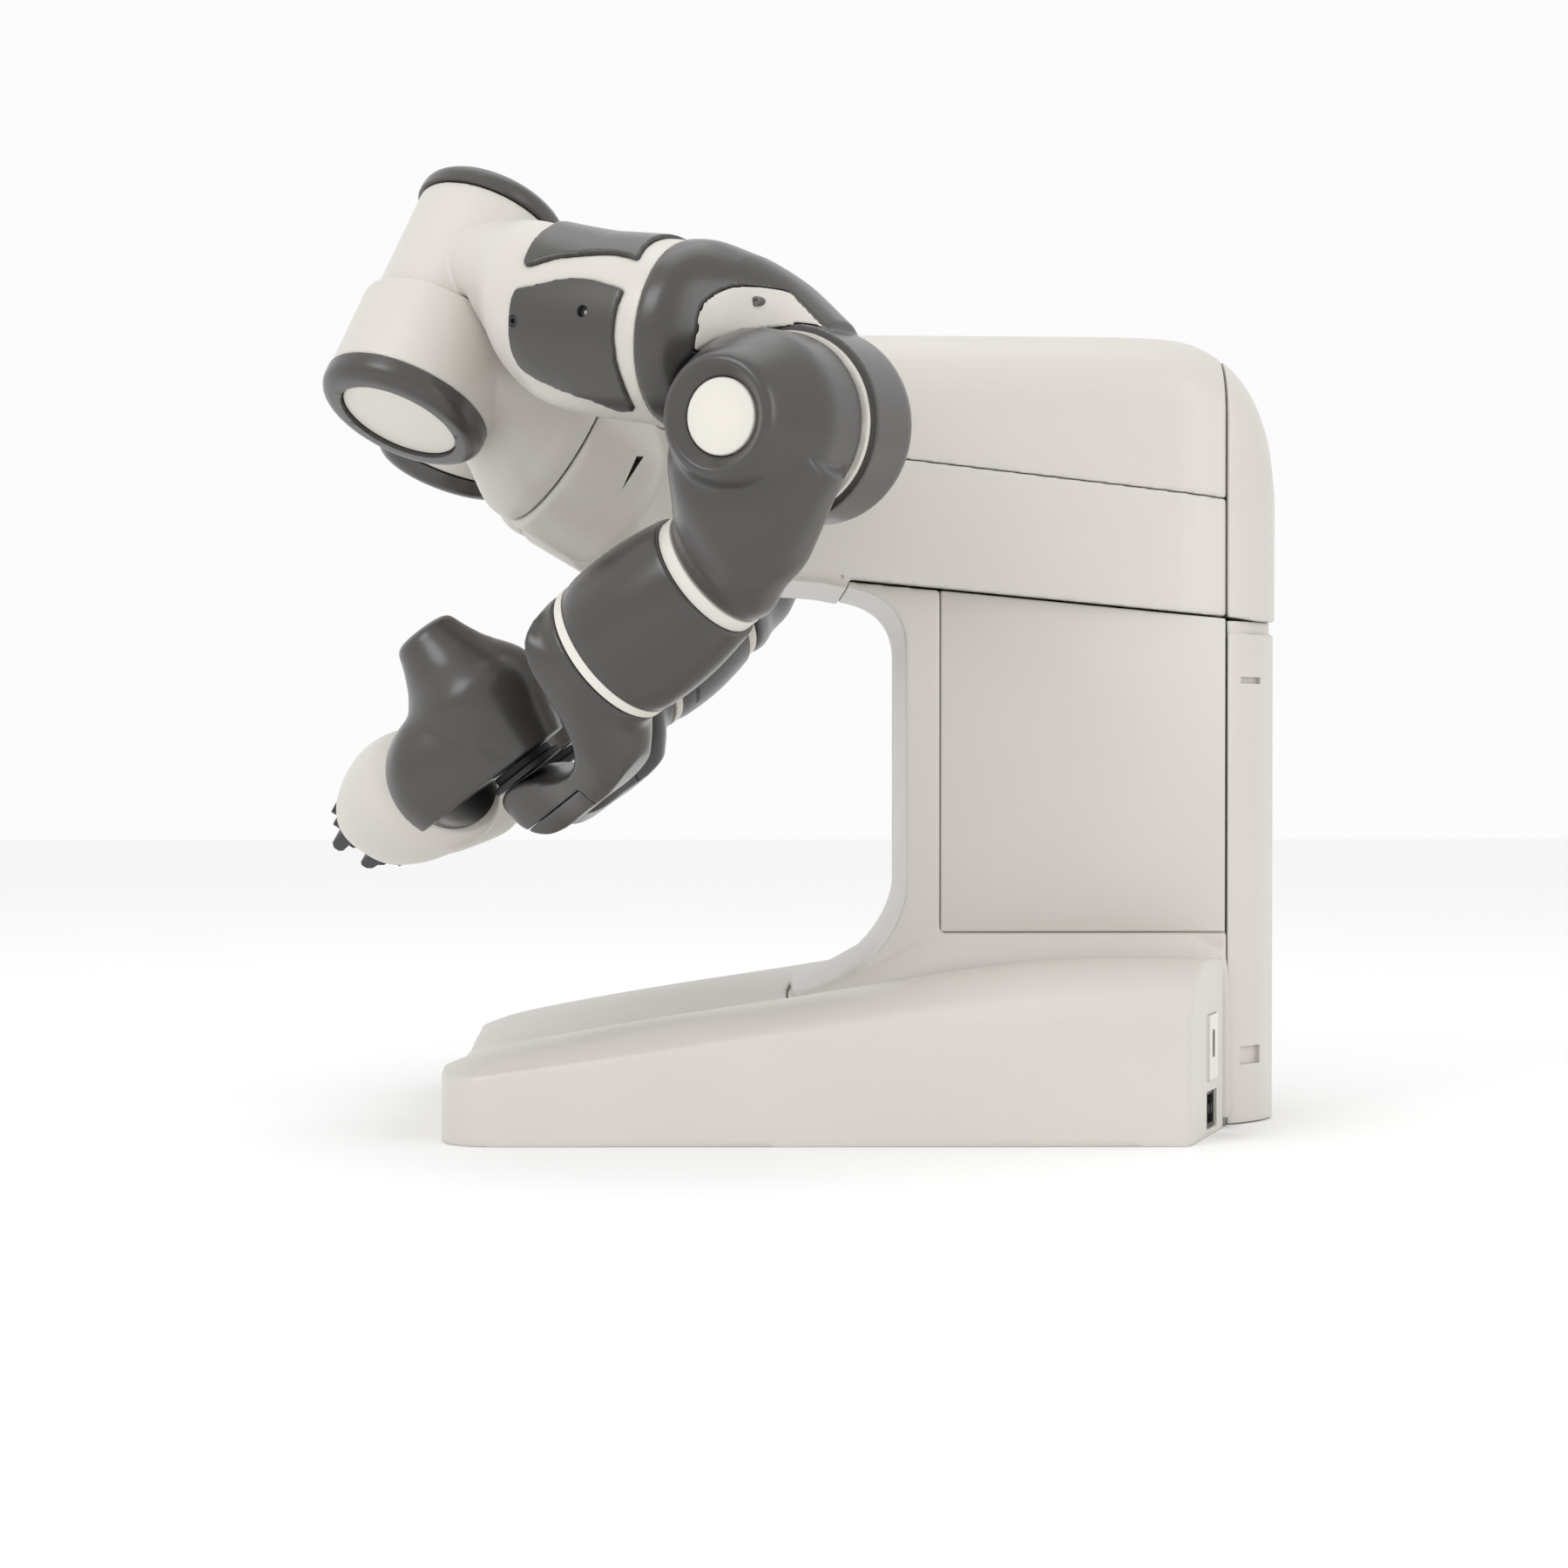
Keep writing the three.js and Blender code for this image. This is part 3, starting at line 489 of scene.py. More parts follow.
def corner_box(thick, wide, high, middle, push=0.0, across=0.0):
    """A box sunk into the cut rear corner of the foot, pushed outwards by push and sideways by across."""
    turn = Matrix.Rotation(-math.atan2(FOOT_CORNER["rise"], FOOT_CORNER["run"]), 4, "Z")
    at = (*FOOT_CORNER["at"], middle)
    place = Matrix.Translation(at) @ turn @ Matrix.Translation((-push, across, 0))
    return moved(block((-thick / 2, -wide / 2, -high / 2), (thick / 2, wide / 2, high / 2)), place)


def foot_casing():
    """The foot's casing, hollow underneath, with room for the column and pockets in one rear corner."""
    crown = FOOT["crown"]
    rows = spread([
        (130, 24, 36, 30), (112, 30, 44, 36), (90, 38, 51, 40), (40, 45, 61, 46), (-20, 54, 71, 56),
        (-80, 63, 80, 68), (-142, 71, 90, 80), (-200, 73, 99, 92), (-260, 74, crown, 100),
        (-400, 72, crown, crown),
    ], 3)
    body = skin([foot_section(*row) for row in rows])
    common(body, drawn(foot_outline(), "z", 0, 140))
    room = COLUMN["half"] + 14 + GAP
    middle, toe = COLUMN["middle"], COLUMN["toe"] + 0.5
    column = block((COLUMN["rear"] - 20, -room, -5), (middle, room, 200))
    join(column, skin([oval("z", z, (middle, 0), (toe - middle, room), 7) for z in (-5, 200)]))
    under = drawn(foot_outline(12), "z", -5, FOOT["plate"] + 20)
    plate = drawn(foot_outline(2), "z", -5, FOOT["plate"])
    cut(body, under, plate, column)
    soften(body, 1.6, 4)
    switch_pocket = corner_box(4.8, 24.8, 38.8, FOOT_CORNER["switch"])
    return cut(body, switch_pocket, corner_box(16, 30, 22, FOOT_CORNER["socket"]))


def power_socket():
    """The mains inlet: a frame round a pocket, with three blades."""
    middle = FOOT_CORNER["socket"]
    inlet = cut(corner_box(6, 29, 21, middle, -4), corner_box(8, 23, 17, middle, -2))
    for across in (-7, 0, 7):
        join(inlet, corner_box(6, 1.8, 5, middle, -4, across))
    return inlet


def bezier(a, b, c, steps):
    made = []
    for i in range(steps + 1):
        t = i / steps
        made.append(tuple((1 - t) ** 2 * p + 2 * t * (1 - t) * q + t * t * r for p, q, r in zip(a, b, c)))
    return made


def column_side():
    """The column's side outline, with a fillet forward at the foot and under the upper body."""
    front, toe, back = COLUMN["front"], COLUMN["toe"], COLUMN["back"] + GAP
    outline = [(back, FOOT["plate"]), (toe, FOOT["plate"])]
    outline += bezier((toe, 70), (front + 7, 97), (front, 140), 16)
    outline += bezier((front, 285), (front, 318), (SEAM["front"], 323), 16)
    outline += [(SEAM["front"], SEAM["at_front"] - SEAM["gap"]), (back, SEAM["at_back"] - SEAM["gap"])]
    return outline


def column_plan(half, front):
    corner = 30
    points = []
    for i in range(13):
        a = HALF * i / 12
        points.append((front - corner + corner * math.sin(a), half - corner + corner * math.cos(a)))
    return mirrored_outline([(COLUMN["back"] + GAP, half), *points])


def panel_outline(inset):
    front = COLUMN["front"] - 20 - inset
    back = COLUMN["back"] + inset + GAP
    foot = 116 + inset
    top = SEAM["gap"] if inset > 0 else -20
    high = seam_height(front, SEAM) - top
    return [(back, foot), (front, foot), (front, high), (back, SEAM["at_back"] - top)]


def panel_slab(side, inset, low, high):
    span = sorted((COLUMN["half"] + y) * side for y in (low, high))
    return drawn(panel_outline(inset), "y", *span)


def column_casing():
    """The column's hollow casing: an upright with a toe, a flare at the foot, and beds for the panels."""
    shaft = drawn(column_side(), "y", -120, 120)
    upright = common(copied(shaft), drawn(column_plan(COLUMN["half"], COLUMN["toe"]), "z", 0, 400))
    trunk = common(shaft, drawn(column_plan(COLUMN["half"], COLUMN["front"]), "z", 0, 400))
    flare = skin([oval("z", z, (COLUMN["middle"], 0), radii, 7) for z, radii in (
        (0, (157, 103.8)), (80, (157, 103.8)), (90, (133, 102.5)),
        (100, (115, 100)), (110, (102, 95.5)), (122, (91, 89)),
    )])
    common(flare, block((COLUMN["back"] + GAP, -110, FOOT["plate"]), (0, 110, 116)))
    join(upright, trunk, flare)
    cut(upright, block((-400, -74, 24), (COLUMN["front"] - 22, 74, 292)))
    cut(upright, *[panel_slab(side, -0.01, -4, 20) for side in (1, -1)])
    return soften(upright, 1.6, 4)


def side_panel(side):
    return bevelled(panel_slab(side, 0.8, -3.6, 0), 1.0)


def body_section(x, half, low, top, top_round, low_round):
    """One upright section of the upper body, with its top and bottom edges rounded."""
    angles = [HALF * i / 10 for i in range(11)]
    left = []
    for a in angles:
        y = half - low_round + low_round * math.sin(a)
        left.append((x, y, low + low_round - low_round * math.cos(a)))
    for a in angles:
        y = half - top_round + top_round * math.cos(a)
        left.append((x, y, top - top_round + top_round * math.sin(a)))
    return left + [(x, -y, z) for _, y, z in reversed(left)]


def above(seam, lift):
    """Everything above a line that rises from the back to the front."""
    def at(x):
        return seam_height(x, seam) + lift
    return drawn([(-420, at(-420)), (200, at(200)), (200, 700), (-420, 700)], "y", -200, 200)


def upper_body():
    low = 290
    rows = spread([
        (-382, 56, low, 398, 26, 4), (-377, 66, low, 424, 30, 4), (-364, 79, low, 449, 34, 4),
        (-342, 88, low, 468, 38, 4), (-306, 95, low, BODY_TOP - 1, 42, 4), (-200, 99, low, BODY_TOP, 44, 4),
        (-120, 104, 322, BODY_TOP, 46, 10), (-60, 110, 328, BODY_TOP, 50, 14),
        (-15, 112, 336, BODY_TOP - 1, 54, 22), (20, 98, 345, BODY_TOP - 10, 54, 34),
        (42, 70, 362, BODY_TOP - 26, 44, 40), (52, 40, 380, BODY_TOP - 44, 26, 26),
    ], 4)
    room = cut(block((-420, -200, 200), (SEAM["front"] + GAP, 200, 600)), above(SEAM, 0))
    return cut(skin([body_section(*row) for row in rows]), room)


def shoulder_seats(radius, start, end):
    """The round seats that the arms' first joints turn on, on both sides."""
    at, tilt = JOINTS[0]
    place = Matrix.Translation(at) @ Euler(tilt, "XYZ").to_matrix().to_4x4()
    seat = moved(turned([
        (0, start), (radius - 16, start), (radius + 2, start + 50),
        (radius + 1, end - 3), (radius - 1, end), (0, end),
    ]), place)
    return join(seat, moved(copied(seat), MIRROR))


def front_body():
    """The upper body in front of the rear covers."""
    return common(upper_body(), block((COLUMN["back"] + GAP, -160, 280), (200, 160, 700)))


def shoulder_body():
    lower = cut(front_body(), above(COVER_SEAM, -GAP / 2))
    seats = common(shoulder_seats(SHOULDER_RADIUS, -96, -GAP), block((-60, -200, 200), (200, 200, 600)))
    join(lower, seats)
    cut(lower, block((-330, -76, 290), (-130, 76, 520)))
    soften(lower, 1.5, 3)
    # On both sides: a triangular recess below the cover's seam, and a short slot near the column.
    for low, high in ((86, 130), (-130, -86)):
        cut(lower, drawn([(14.4, 379), (5.7, 399), (1.4, 399)], "y", low, high))
    for low, high in ((102.2, 130), (-130, -102.2)):
        cut(lower, block((-117, low, 319), (-115, high, 330)))
    return lower


def largest(made):
    """Keeps the biggest of an object's separate bodies."""
    work = bmesh.new()
    work.from_mesh(made.data)
    left = set(work.verts)
    groups = []
    while left:
        stack = [left.pop()]
        group = set(stack)
        while stack:
            for edge in stack.pop().link_edges:
                for vert in edge.verts:
                    if vert in left:
                        left.discard(vert)
                        group.add(vert)
                        stack.append(vert)
        groups.append(group)

    def size_of(group):
        return sum(max(v.co[k] for v in group) - min(v.co[k] for v in group) for k in range(3))

    keep = max(groups, key=size_of)
    bmesh.ops.delete(work, geom=[v for v in work.verts if v not in keep], context="VERTS")
    work.to_mesh(made.data)
    work.free()
    return made


def top_lid():
    upper = common(front_body(), above(COVER_SEAM, GAP / 2))
    cut(upper, shoulder_seats(SHOULDER_RADIUS + GAP, -110, 20), block((-330, -76, 290), (-130, 76, 462)))
    return soften(largest(upper), 1.5, 3)


def upper_rear_cover():
    room = block((-400, -160, REAR_SEAM["height"]), (COLUMN["back"] - GAP, 160, 700))
    return soften(common(upper_body(), room), 1.5, 4)


def rear_outline(inset):
    back, rear = COLUMN["back"] - GAP, COLUMN["rear"] + inset
    left = [(back, 88 - inset), (-356, 84 - inset), (-372 + inset, 68 - inset), (rear, 50)]
    return mirrored_outline(spread(left, 4))


def lower_rear_cover():
    """The cover down the back of the column, stepped in at its top, with grips on both edges."""
    step, top = REAR_SEAM["step"], REAR_SEAM["height"] - GAP
    slab = join(drawn(rear_outline(0), "z", 0.6, step), drawn(rear_outline(2.5), "z", step - 10, top))
    soften(slab, 1.1, 3)
    for side in (1, -1):
        place = Matrix.Translation((-364, 76 * side, 0)) @ Matrix.Rotation(side * math.radians(135), 4, "Z")
        for low, high in ((36, 47), (266, 270)):
            cut(slab, moved(block((-3, -10, low), (20, 10, high)), place))
    return slab


def build_torso():
    put = "torso"
    finished(foot_casing(), "foot_casing", put, LIGHT, ["foot_shell"])
    finished(column_casing(), "column_casing", put, LIGHT, ["column_shell"])
    for side, name in ((1, "left"), (-1, "right")):
        finished(side_panel(side), f"{name}_side_panel", put, LIGHT, [f"side_panel_{name}"])
    finished(shoulder_body(), "shoulder_body", put, LIGHT, ["shoulder_casting"])
    finished(top_lid(), "top_lid", put, LIGHT, ["top_cover"])
    finished(upper_rear_cover(), "upper_rear_cover", put, LIGHT, ["rear_cover_top"])
    finished(lower_rear_cover(), "lower_rear_cover", put, LIGHT, ["rear_cover_bottom"])
    front = block((COLUMN["back"] + GAP, -300, -10), (300, 300, 20))
    plate = bevelled(common(drawn(foot_outline(4), "z", 0, FOOT["plate"] - GAP), front), 0.8)
    finished(plate, "base_plate", put, PLATE, ["mounting_plate"])
    switch = cut(corner_box(4, 24, 38, FOOT_CORNER["switch"]), corner_box(9, 8, 16, FOOT_CORNER["rocker"]))
    finished(bevelled(switch, 0.6), "power_switch_plate", put, CREAM, ["switch_plate"])
    rocker = bevelled(corner_box(3, 7.2, 15.2, FOOT_CORNER["rocker"]), 0.4)
    finished(rocker, "power_switch_rocker", put, BLACK)
    finished(power_socket(), "power_socket", put, BLACK)


# ---- Arm pieces, each in its own joint's frame ----
def on_joint_2():
    """The place of joint 2's axis in joint 1's frame, as drum and ring want it."""
    x, _, z = JOINTS[1][0]
    return {"axis": "y", "at": (x, 0, z)}


def shoulder_shell():
    """The neck that rises from the shoulder's seat to joint 2's barrel."""
    radius, near, top, room = BARREL["radius"], BARREL["near"], BARREL["top"], BARREL["ring"] + 2.4
    x, _, z = JOINTS[1][0]
    neck = tapered("z", [
        (GAP, (0, 0), (58, 58)), (9, (0, 0), (59, 59)), (20, (2, -6), (55, 50)),
        (44, (14, -14), (44, 30), 2.2), (70, (26, -18), (41, 20), 2.4), (z, (x, -18), (40, 19), 2.6),
    ])
    cut(neck, drum(room, -90, -near, **on_joint_2()), drum(room, top, 90, **on_joint_2()))
    join(neck, drum(radius, -near, top, **on_joint_2()))
    cut(neck, drum(radius - 11, -near - 5, -7, **on_joint_2()))
    return soften(neck, 1.1, 4)


def shoulder_ring():
    """The dark ring on the outer end of joint 2's barrel, round the light disc."""
    outer, near, end, disc = BARREL["ring"], BARREL["near"], BARREL["end"], BARREL["disc"]
    made = ring(outer, disc + GAP, -end, -near - GAP, **on_joint_2(), edge_start=9)
    return bevelled(made, 0.8)


def shoulder_disc():
    end, disc = BARREL["end"], BARREL["disc"]
    return drum(disc, -end + 2.5, -end + 7, **on_joint_2(), edge_start=1.5)


def upper_tube(grow):
    """The upper arm's tube, from joint 2's barrel to joint 3's flange, grown by a margin."""
    r, middle = ARM["radius"] + grow, ARM["middle"]
    return tapered("y", [
        (10, (-4, -36), (34 + grow, 27 + grow)), (44, (-16, -31), (40 + grow, 34 + grow)),
        (74, (-26, -14), (45 + grow, 44 + grow), 2.2), (100, (middle, -4), (48.5 + grow, 48.5 + grow), 2.2),
        (136, (middle, 0), (r - 0.6, r - 0.6)), (168, (middle, 0), (r, r)), (ARM["end"], (middle, 0), (r, r)),
    ])


# Edges and screw holes of the two pads on the upper arm: distance along it, and degrees round it.
PAD_OUTER = [
    (99, 144), (99, 158), (101, 166), (113, 169), (128, 174), (144, 176), (158, 174), (171, 171),
    (169.5, 158), (169.5, 143), (171, 125), (173, 108), (173, 90), (162, 88), (149, 95), (128, 101),
    (112, 107), (102, 115), (99, 130),
]
PAD_TOP = [
    (99, -142), (98, -158), (99, -174), (104, -177), (120, -170), (141, -164), (157, -163), (171, -167),
    (169, -155), (168, -140), (169, -125), (171, -108), (172, -92), (150, -94), (128, -100), (110, -106),
    (101, -116), (98, -128),
]
PAD_HOLES = [(103, 145), (149, 155)]


def pad_region(outline, grow):
    """A block over one pad's outline, from inside the arm to well outside it."""
    middle = Vector([sum(p[k] for p in outline) / len(outline) for k in range(2)])
    across = math.degrees(1 / ARM["radius"])
    rings = [[], []]
    for y, degrees in corners_kept(outline):
        away = Vector((y - middle.x, (degrees - middle.y) / across)).normalized() * grow
        a = math.radians(degrees + away.y * across)
        for made, reach in zip(rings, (20, 92)):
            made.append((ARM["middle"] + reach * math.cos(a), y + away.x, reach * math.sin(a)))
    return skin_open(rings)


def corners_kept(outline):
    """A closed outline with smooth sides, whose corners stay where the direction turns sharply."""
    count = len(outline)
    steps = 5
    sharp = 0.55
    points = [Vector(p) for p in outline]
    made = []
    for i in range(count):
        p = [points[(i + k) % count] for k in (-1, 0, 1, 2)]
        turn_a = (p[1] - p[0]).normalized().dot((p[2] - p[1]).normalized())
        turn_b = (p[2] - p[1]).normalized().dot((p[3] - p[2]).normalized())
        slope_a = (p[2] - p[0]) / 2 if turn_a > sharp else p[2] - p[1]
        slope_b = (p[3] - p[1]) / 2 if turn_b > sharp else p[2] - p[1]
        for s in range(steps):
            t = s / steps
            h = curve_weights(t)
            made.append(h[0] * p[1] + h[1] * slope_a + h[2] * p[2] + h[3] * slope_b)
    return made


def upper_arm_shell():
    """The barrel round joint 2 and the tube beyond it, with shallow beds for the two pads."""
    shell = join(drum(UPPER["radius"], -UPPER["far"], -UPPER["near"]), upper_tube(0))
    cut(shell, drum(BARREL["ring"] + 1.5, -UPPER["near"], 90))
    for outline in (PAD_OUTER, PAD_TOP):
        room = common(pad_region(outline, 0.3), upper_tube(5))
        cut(shell, cut(room, upper_tube(-1.6)))
    return soften(shell, 1.1, 3)


def upper_arm_pad(outline, holes=()):
    pad = cut(common(pad_region(outline, -0.4), upper_tube(ARM["pad_rise"])), upper_tube(-1.2))
    soften(pad, 0.8, 5)
    for y, degrees in holes:
        cut(pad, on_upper_arm(drum(SCREW["hole"], 40, 70, "x", sides=SCREW["sides"]), y, degrees))
    return pad


def on_upper_arm(made, y, degrees):
    """Turns a shape that lies along X so that it stands square to the upper arm's tube."""
    turn = Matrix.Rotation(-math.radians(degrees), 4, "Y")
    return moved(made, Matrix.Translation((ARM["middle"], y, 0)) @ turn)


def pad_screw():
    """A socket-head screw along X: a round head with a six-sided socket."""
    head, seat = SCREW["head"], SCREW["seat"]
    made = drum(head, seat - 6, seat, "x", edge_end=0.4, sides=SCREW["sides"])
    return cut(made, drum(head * 0.5, seat - 1.8, seat + 1, "x", sides=6))


def upper_arm_screws():
    first, second = [on_upper_arm(pad_screw(), y, degrees) for y, degrees in PAD_HOLES]
    return join(first, second)


def liner_screw():
    """The screw in the liner, with its six-sided socket."""
    at = LINER_SCREW["at"]
    screw = drum(LINER_SCREW["head"], -2, 8, "y", at, edge_end=0.4, sides=SCREW["sides"])
    return cut(screw, drum(LINER_SCREW["socket"], 6, 12, "y", at, sides=6))


def slot_shade_band():
    """Painted shade of the drain slot near the lower end of the forearm drum: a black band laid flush on the
    drum, where the slot is not cut.
    """
    arc = [math.radians(-36 - 18 * i / 12) for i in range(13)]
    outline = [(45 * math.cos(a), 45 * math.sin(a)) for a in arc]
    outline += [(42 * math.cos(a), 42 * math.sin(a)) for a in reversed(arc)]
    return drawn(outline, "z", -22.4, -19.4)


def upper_arm_cap():
    """The domed cap on the far end of joint 2's barrel."""
    rim, far, end = UPPER["cap"], UPPER["far"], UPPER["end"]
    profile = spread([
        (16, -end), (30, -end + 0.8), (39, -end + 3.5), (44.5, -end + 8), (rim, -end + 13), (rim, -far - 1.4),
    ], 5)
    return turned([(0, -end), *profile, (rim - 1, -far - GAP), (0, -far - GAP)])


def on_joint_4():
    """The place of joint 4's axis in joint 3's frame, as drum and ring want it."""
    x, _, z = JOINTS[3][0]
    return {"axis": "y", "at": (x, 0, z)}


def hook_arm():
    """The hook's arm, from joint 3's flange round the outside of the elbow."""
    start = ELBOW["start"]
    arm = tapered("z", [
        (start, (0, 0), (50, 50)), (start + 3, (0, 0), (52, 52)), (26, (1, -2), (51, 50)),
        (44, (0.5, -14), (46, 41), 2.3), (66, (-9, -29), (43, 29), 2.6), (92, (-22, -30), (38, 27), 2.6),
    ])
    return cut(arm, drum(ELBOW["ring"] + 2.5, -5.4, 120, **on_joint_4()))


def liner_region(grow):
    """The side of the hook's arm that faces the elbow, which the light liner covers."""
    start = ELBOW["liner"] - grow
    outline = smooth([
        (-70, start), (0, start), (17, start + 1), (27 + grow, start + 9), (29 + grow, 62), (24 + grow, 80),
        (12 + grow, 100), (-2, 118 + grow), (-70, 126),
    ])
    return drawn(outline, "y", -12 - grow, 70)


def elbow_hub(grow):
    return drum(ELBOW["drum"] + grow, -ELBOW["back"] - grow, -5.4 + grow, **on_joint_4(), edge_start=16)


def elbow_hook():
    made = cut(hook_arm(), liner_region(GAP))
    join(made, elbow_hub(0), drum(24, -7, -1.4, **on_joint_4()))
    return soften(made, 1.1, 4)


def elbow_ring():
    return bevelled(ring(ELBOW["ring"], 24.6, -5, -1.4, **on_joint_4()), 0.6)


def elbow_liner():
    made = cut(common(hook_arm(), liner_region(0)), elbow_hub(GAP))
    return soften(largest(made), 1.0, 3)


def elbow_dome():
    """The turned front of the elbow: a rim round the disc's recess, then a cone out to the drum."""
    rim, radius = ELBOW["rim"], ELBOW["rim_radius"]
    profile = spread([
        (radius, rim), (radius + 3, rim + 2.5), (36, rim + 8), (38.6, rim + 14), (41.2, rim + 19.5),
        (43.6, rim + 25), (46, rim + 31), (48.2, rim + 38), (49, rim + 46), (49, -0.8),
    ], 4)
    return turned([(0, rim), (radius - 1.4, rim), *profile, (0, -0.8)])


def elbow_shell():
    """The elbow: the turned front and the neck to the forearm, with the disc's recess in the front."""
    rim, disc = ELBOW["rim"], ELBOW["disc"]
    made = elbow_dome()
    neck = tapered("y", [
        (-22, (4, -28), (50, 24), 2.2), (-6, (8, -28), (54, 30), 2.3), (24, (19, -25), (57, 36), 2.3),
        (48, (28, -19), (50, 39), 2.3), (64, (36.5, -8), (43, 39), 2.1), (74, (40, -1), (38, 37.4)),
        (78, (40.5, 0), (FOREARM["neck"], FOREARM["neck"])),
    ])
    join(made, neck)
    soften(made, 1.4, 14)
    cut(made, drum(58, -0.8, 80))
    recess = turned([(0, rim + 6.5), (disc + 0.9, rim + 6.5), (ELBOW["rim_radius"] - 1.2, rim - 0.4),
                     (ELBOW["rim_radius"] - 1.2, rim - 5), (0, rim - 5)])
    cut(made, recess, drum(disc + GAP, rim + 2, rim + 11))
    return soften(made, 1.0, 2)


def elbow_disc():
    rim = ELBOW["rim"]
    return drum(ELBOW["disc"], rim + 5.2, rim + 10.6, edge_start=1.2)


def forearm_ring():
    start = FOREARM["ring_a"] + GAP
    return drum(FOREARM["neck"] + 0.6, start, start + FOREARM["ring_width"], edge_start=1.0)


def forearm_drum():
    start = FOREARM["ring_a"] + FOREARM["ring_width"] + 2 * GAP
    end = FOREARM["ring_b"] - GAP
    profile = spread([
        (38.4, start), (39.4, start + 1), (41.8, start + 13), (44.2, start + 30),
        (FOREARM["bulge"], start + 46), (44.6, end - 8), (FOREARM["end"], end),
    ], 5)
    return turned([(0, start), *profile, (0, end)])


def wrist_ring():
    return drum(FOREARM["end"] + 0.4, FOREARM["ring_b"], FOREARM["ring_end"], edge_end=1)


def wrist_hook_whole():
    """The hook from the forearm's end round to the wrist, before its cover is parted off."""
    collar, outer = HOOK["collar"], HOOK["outer"]
    side = smooth([
        (collar, 0.6), (41.5, 9), (33, 19), (18, 26), (0, 29), (-17, 32), (-31, 39), (-38.5, 50), (-39.5, 64),
        (-35, 79), (-28.5, 91), (-25, 101), (-25.5, 113), (-31, 122), (-41, 122), (-52, 116), (-59.5, 107),
        (outer, 95), (outer, 70), (outer, 44), (-58, 24), (-50, 8), (-collar, 0.6), (-20, -3), (20, -3),
    ], 6)
    made = common(drawn(side, "x", -80, 80), tapered("z", [
        (-0.8, (0, 0), (43, 43)), (8, (-0.5, 0), (43, 44)), (20, (-0.5, 0), (40, 56), 2.5),
        (36, (-2, 0), (34, 68), 3), (62, (-10.5, 0), (28, 70), 3), (84, (-20.5, 0), (25, 70), 3),
        (104, (-26, 0), (23.5, 70), 2.8), (118, (-27, 0), (17, 70), 2.6),
        (HOOK["end"], (-27, 0), (6, 70), 2.5),
    ]))
    common(made, block((-90, -90, -0.8), (90, 90, 140)))
    return join(made, drum(collar, -0.8, 12))


def hook_cover_region(gap):
    """The outer far part of the hook, which is a cover of its own."""
    return block((-90, -90, HOOK["cover_z"] + gap), (90, HOOK["cover_y"] - gap, 140))


def wrist_hook():
    return soften(cut(soften(wrist_hook_whole(), 1.2, 14), hook_cover_region(0)), 1.0, 2)


def wrist_hook_cover():
    return soften(common(soften(wrist_hook_whole(), 1.2, 14), hook_cover_region(GAP)), 0.9, 2)


def wrist_motor():
    x, _, z = JOINTS[5][0]
    near, far = -WRIST["foot"] - 0.8, -24.2
    profile = [(0, far), (23, far), (23, near - 5), (19, near - 4.4), (19, near), (0, near)]
    return bevelled(turned(profile, "y", (x, 0, z)), 0.6)


def wrist_housing():
    """The wrist: a turned bell with a snout, and a side that opens on the tool's flange."""
    snout, foot, mouth = WRIST["snout"], WRIST["foot"], WRIST["mouth"]
    profile = spread([
        (12, snout), (17, snout + 1.2), (19.6, snout + 4), (21, snout + 9), (24.4, -63), (29, -54),
        (36, -44.5), (41, -36), (42.4, -27), (41, -14), (36, 0), (30.5, foot + 4),
    ], 4)
    made = turned([(0, snout), *profile, (0, foot + 4)])
    join(made, tapered("y", [
        (-24, (4, -6), (28, 30), 2.1), (-8, (15, -5), (37, 37), 2.1), (8, (24, -4), (41.5, 40.5), 2.1),
        (20, (27, -3), (42, 41)), (30, (27, -2), (41.5, 40)), (36, (27, -1), (40, 39)),
    ]))
    soften(made, 1.4, 40)
    common(made, block((-90, -90, -90), (90, mouth, foot)))
    return soften(made, 1.0, 2)


def tool_flange():
    return turned([(0, GAP), (24, GAP), (WRIST["flange"], 1.6), (WRIST["flange"], 7), (0, 7)])


def gripper_housing():
    start, end = GRIPPER["start"], GRIPPER["end"]
    return soften(tapered("z", [
        (start, (0, 0), (29, 33)), (start + 5, (0, 2), (31.5, 38)), (24, (0, 5), (34, 42), 2.1),
        (42, (0, 8), (34.5, 41), 2.2), (60, (1, 10), (33, 38), 2.3), (77, (3, 11.5), (28.5, 32), 2.4),
        (88, (5, 11), (22, 26), 2.5), (end, (6, 10), (15, 20), 2.6),
    ]), 1.0, 2)


def finger(side):
    """A finger with its carriage: side is 1 or -1."""
    end, tip, inner = GRIPPER["end"], GRIPPER["finger_end"], 6.4
    made = join(block((-9, inner, end + GAP), (9, inner + 18, end + 8)), bevelled(drawn([
        (inner, end + 5), (inner, tip - 3), (inner + 1.5, tip), (inner + 6, tip), (inner + 8.5, tip - 4),
        (inner + 10, end + 18), (inner + 14, end + 5),
    ], "x", -6.5, 6.5), 1.2))
    if side < 0:
        moved(made, MIRROR)
    x, y = GRIPPER["finger_at"]
    return moved(soften(made, 0.5, 2), Matrix.Translation((x, y, 0)))


def finger_rail():
    """The bar that the fingers' carriages slide on, across the end of the gripper."""
    x, y = GRIPPER["finger_at"]
    low, high = GRIPPER["end"] - 3, GRIPPER["end"] + GAP - 0.1
    return bevelled(block((x - 6.5, y - 30, low), (x + 6.5, y + 30, high)), 0.6)


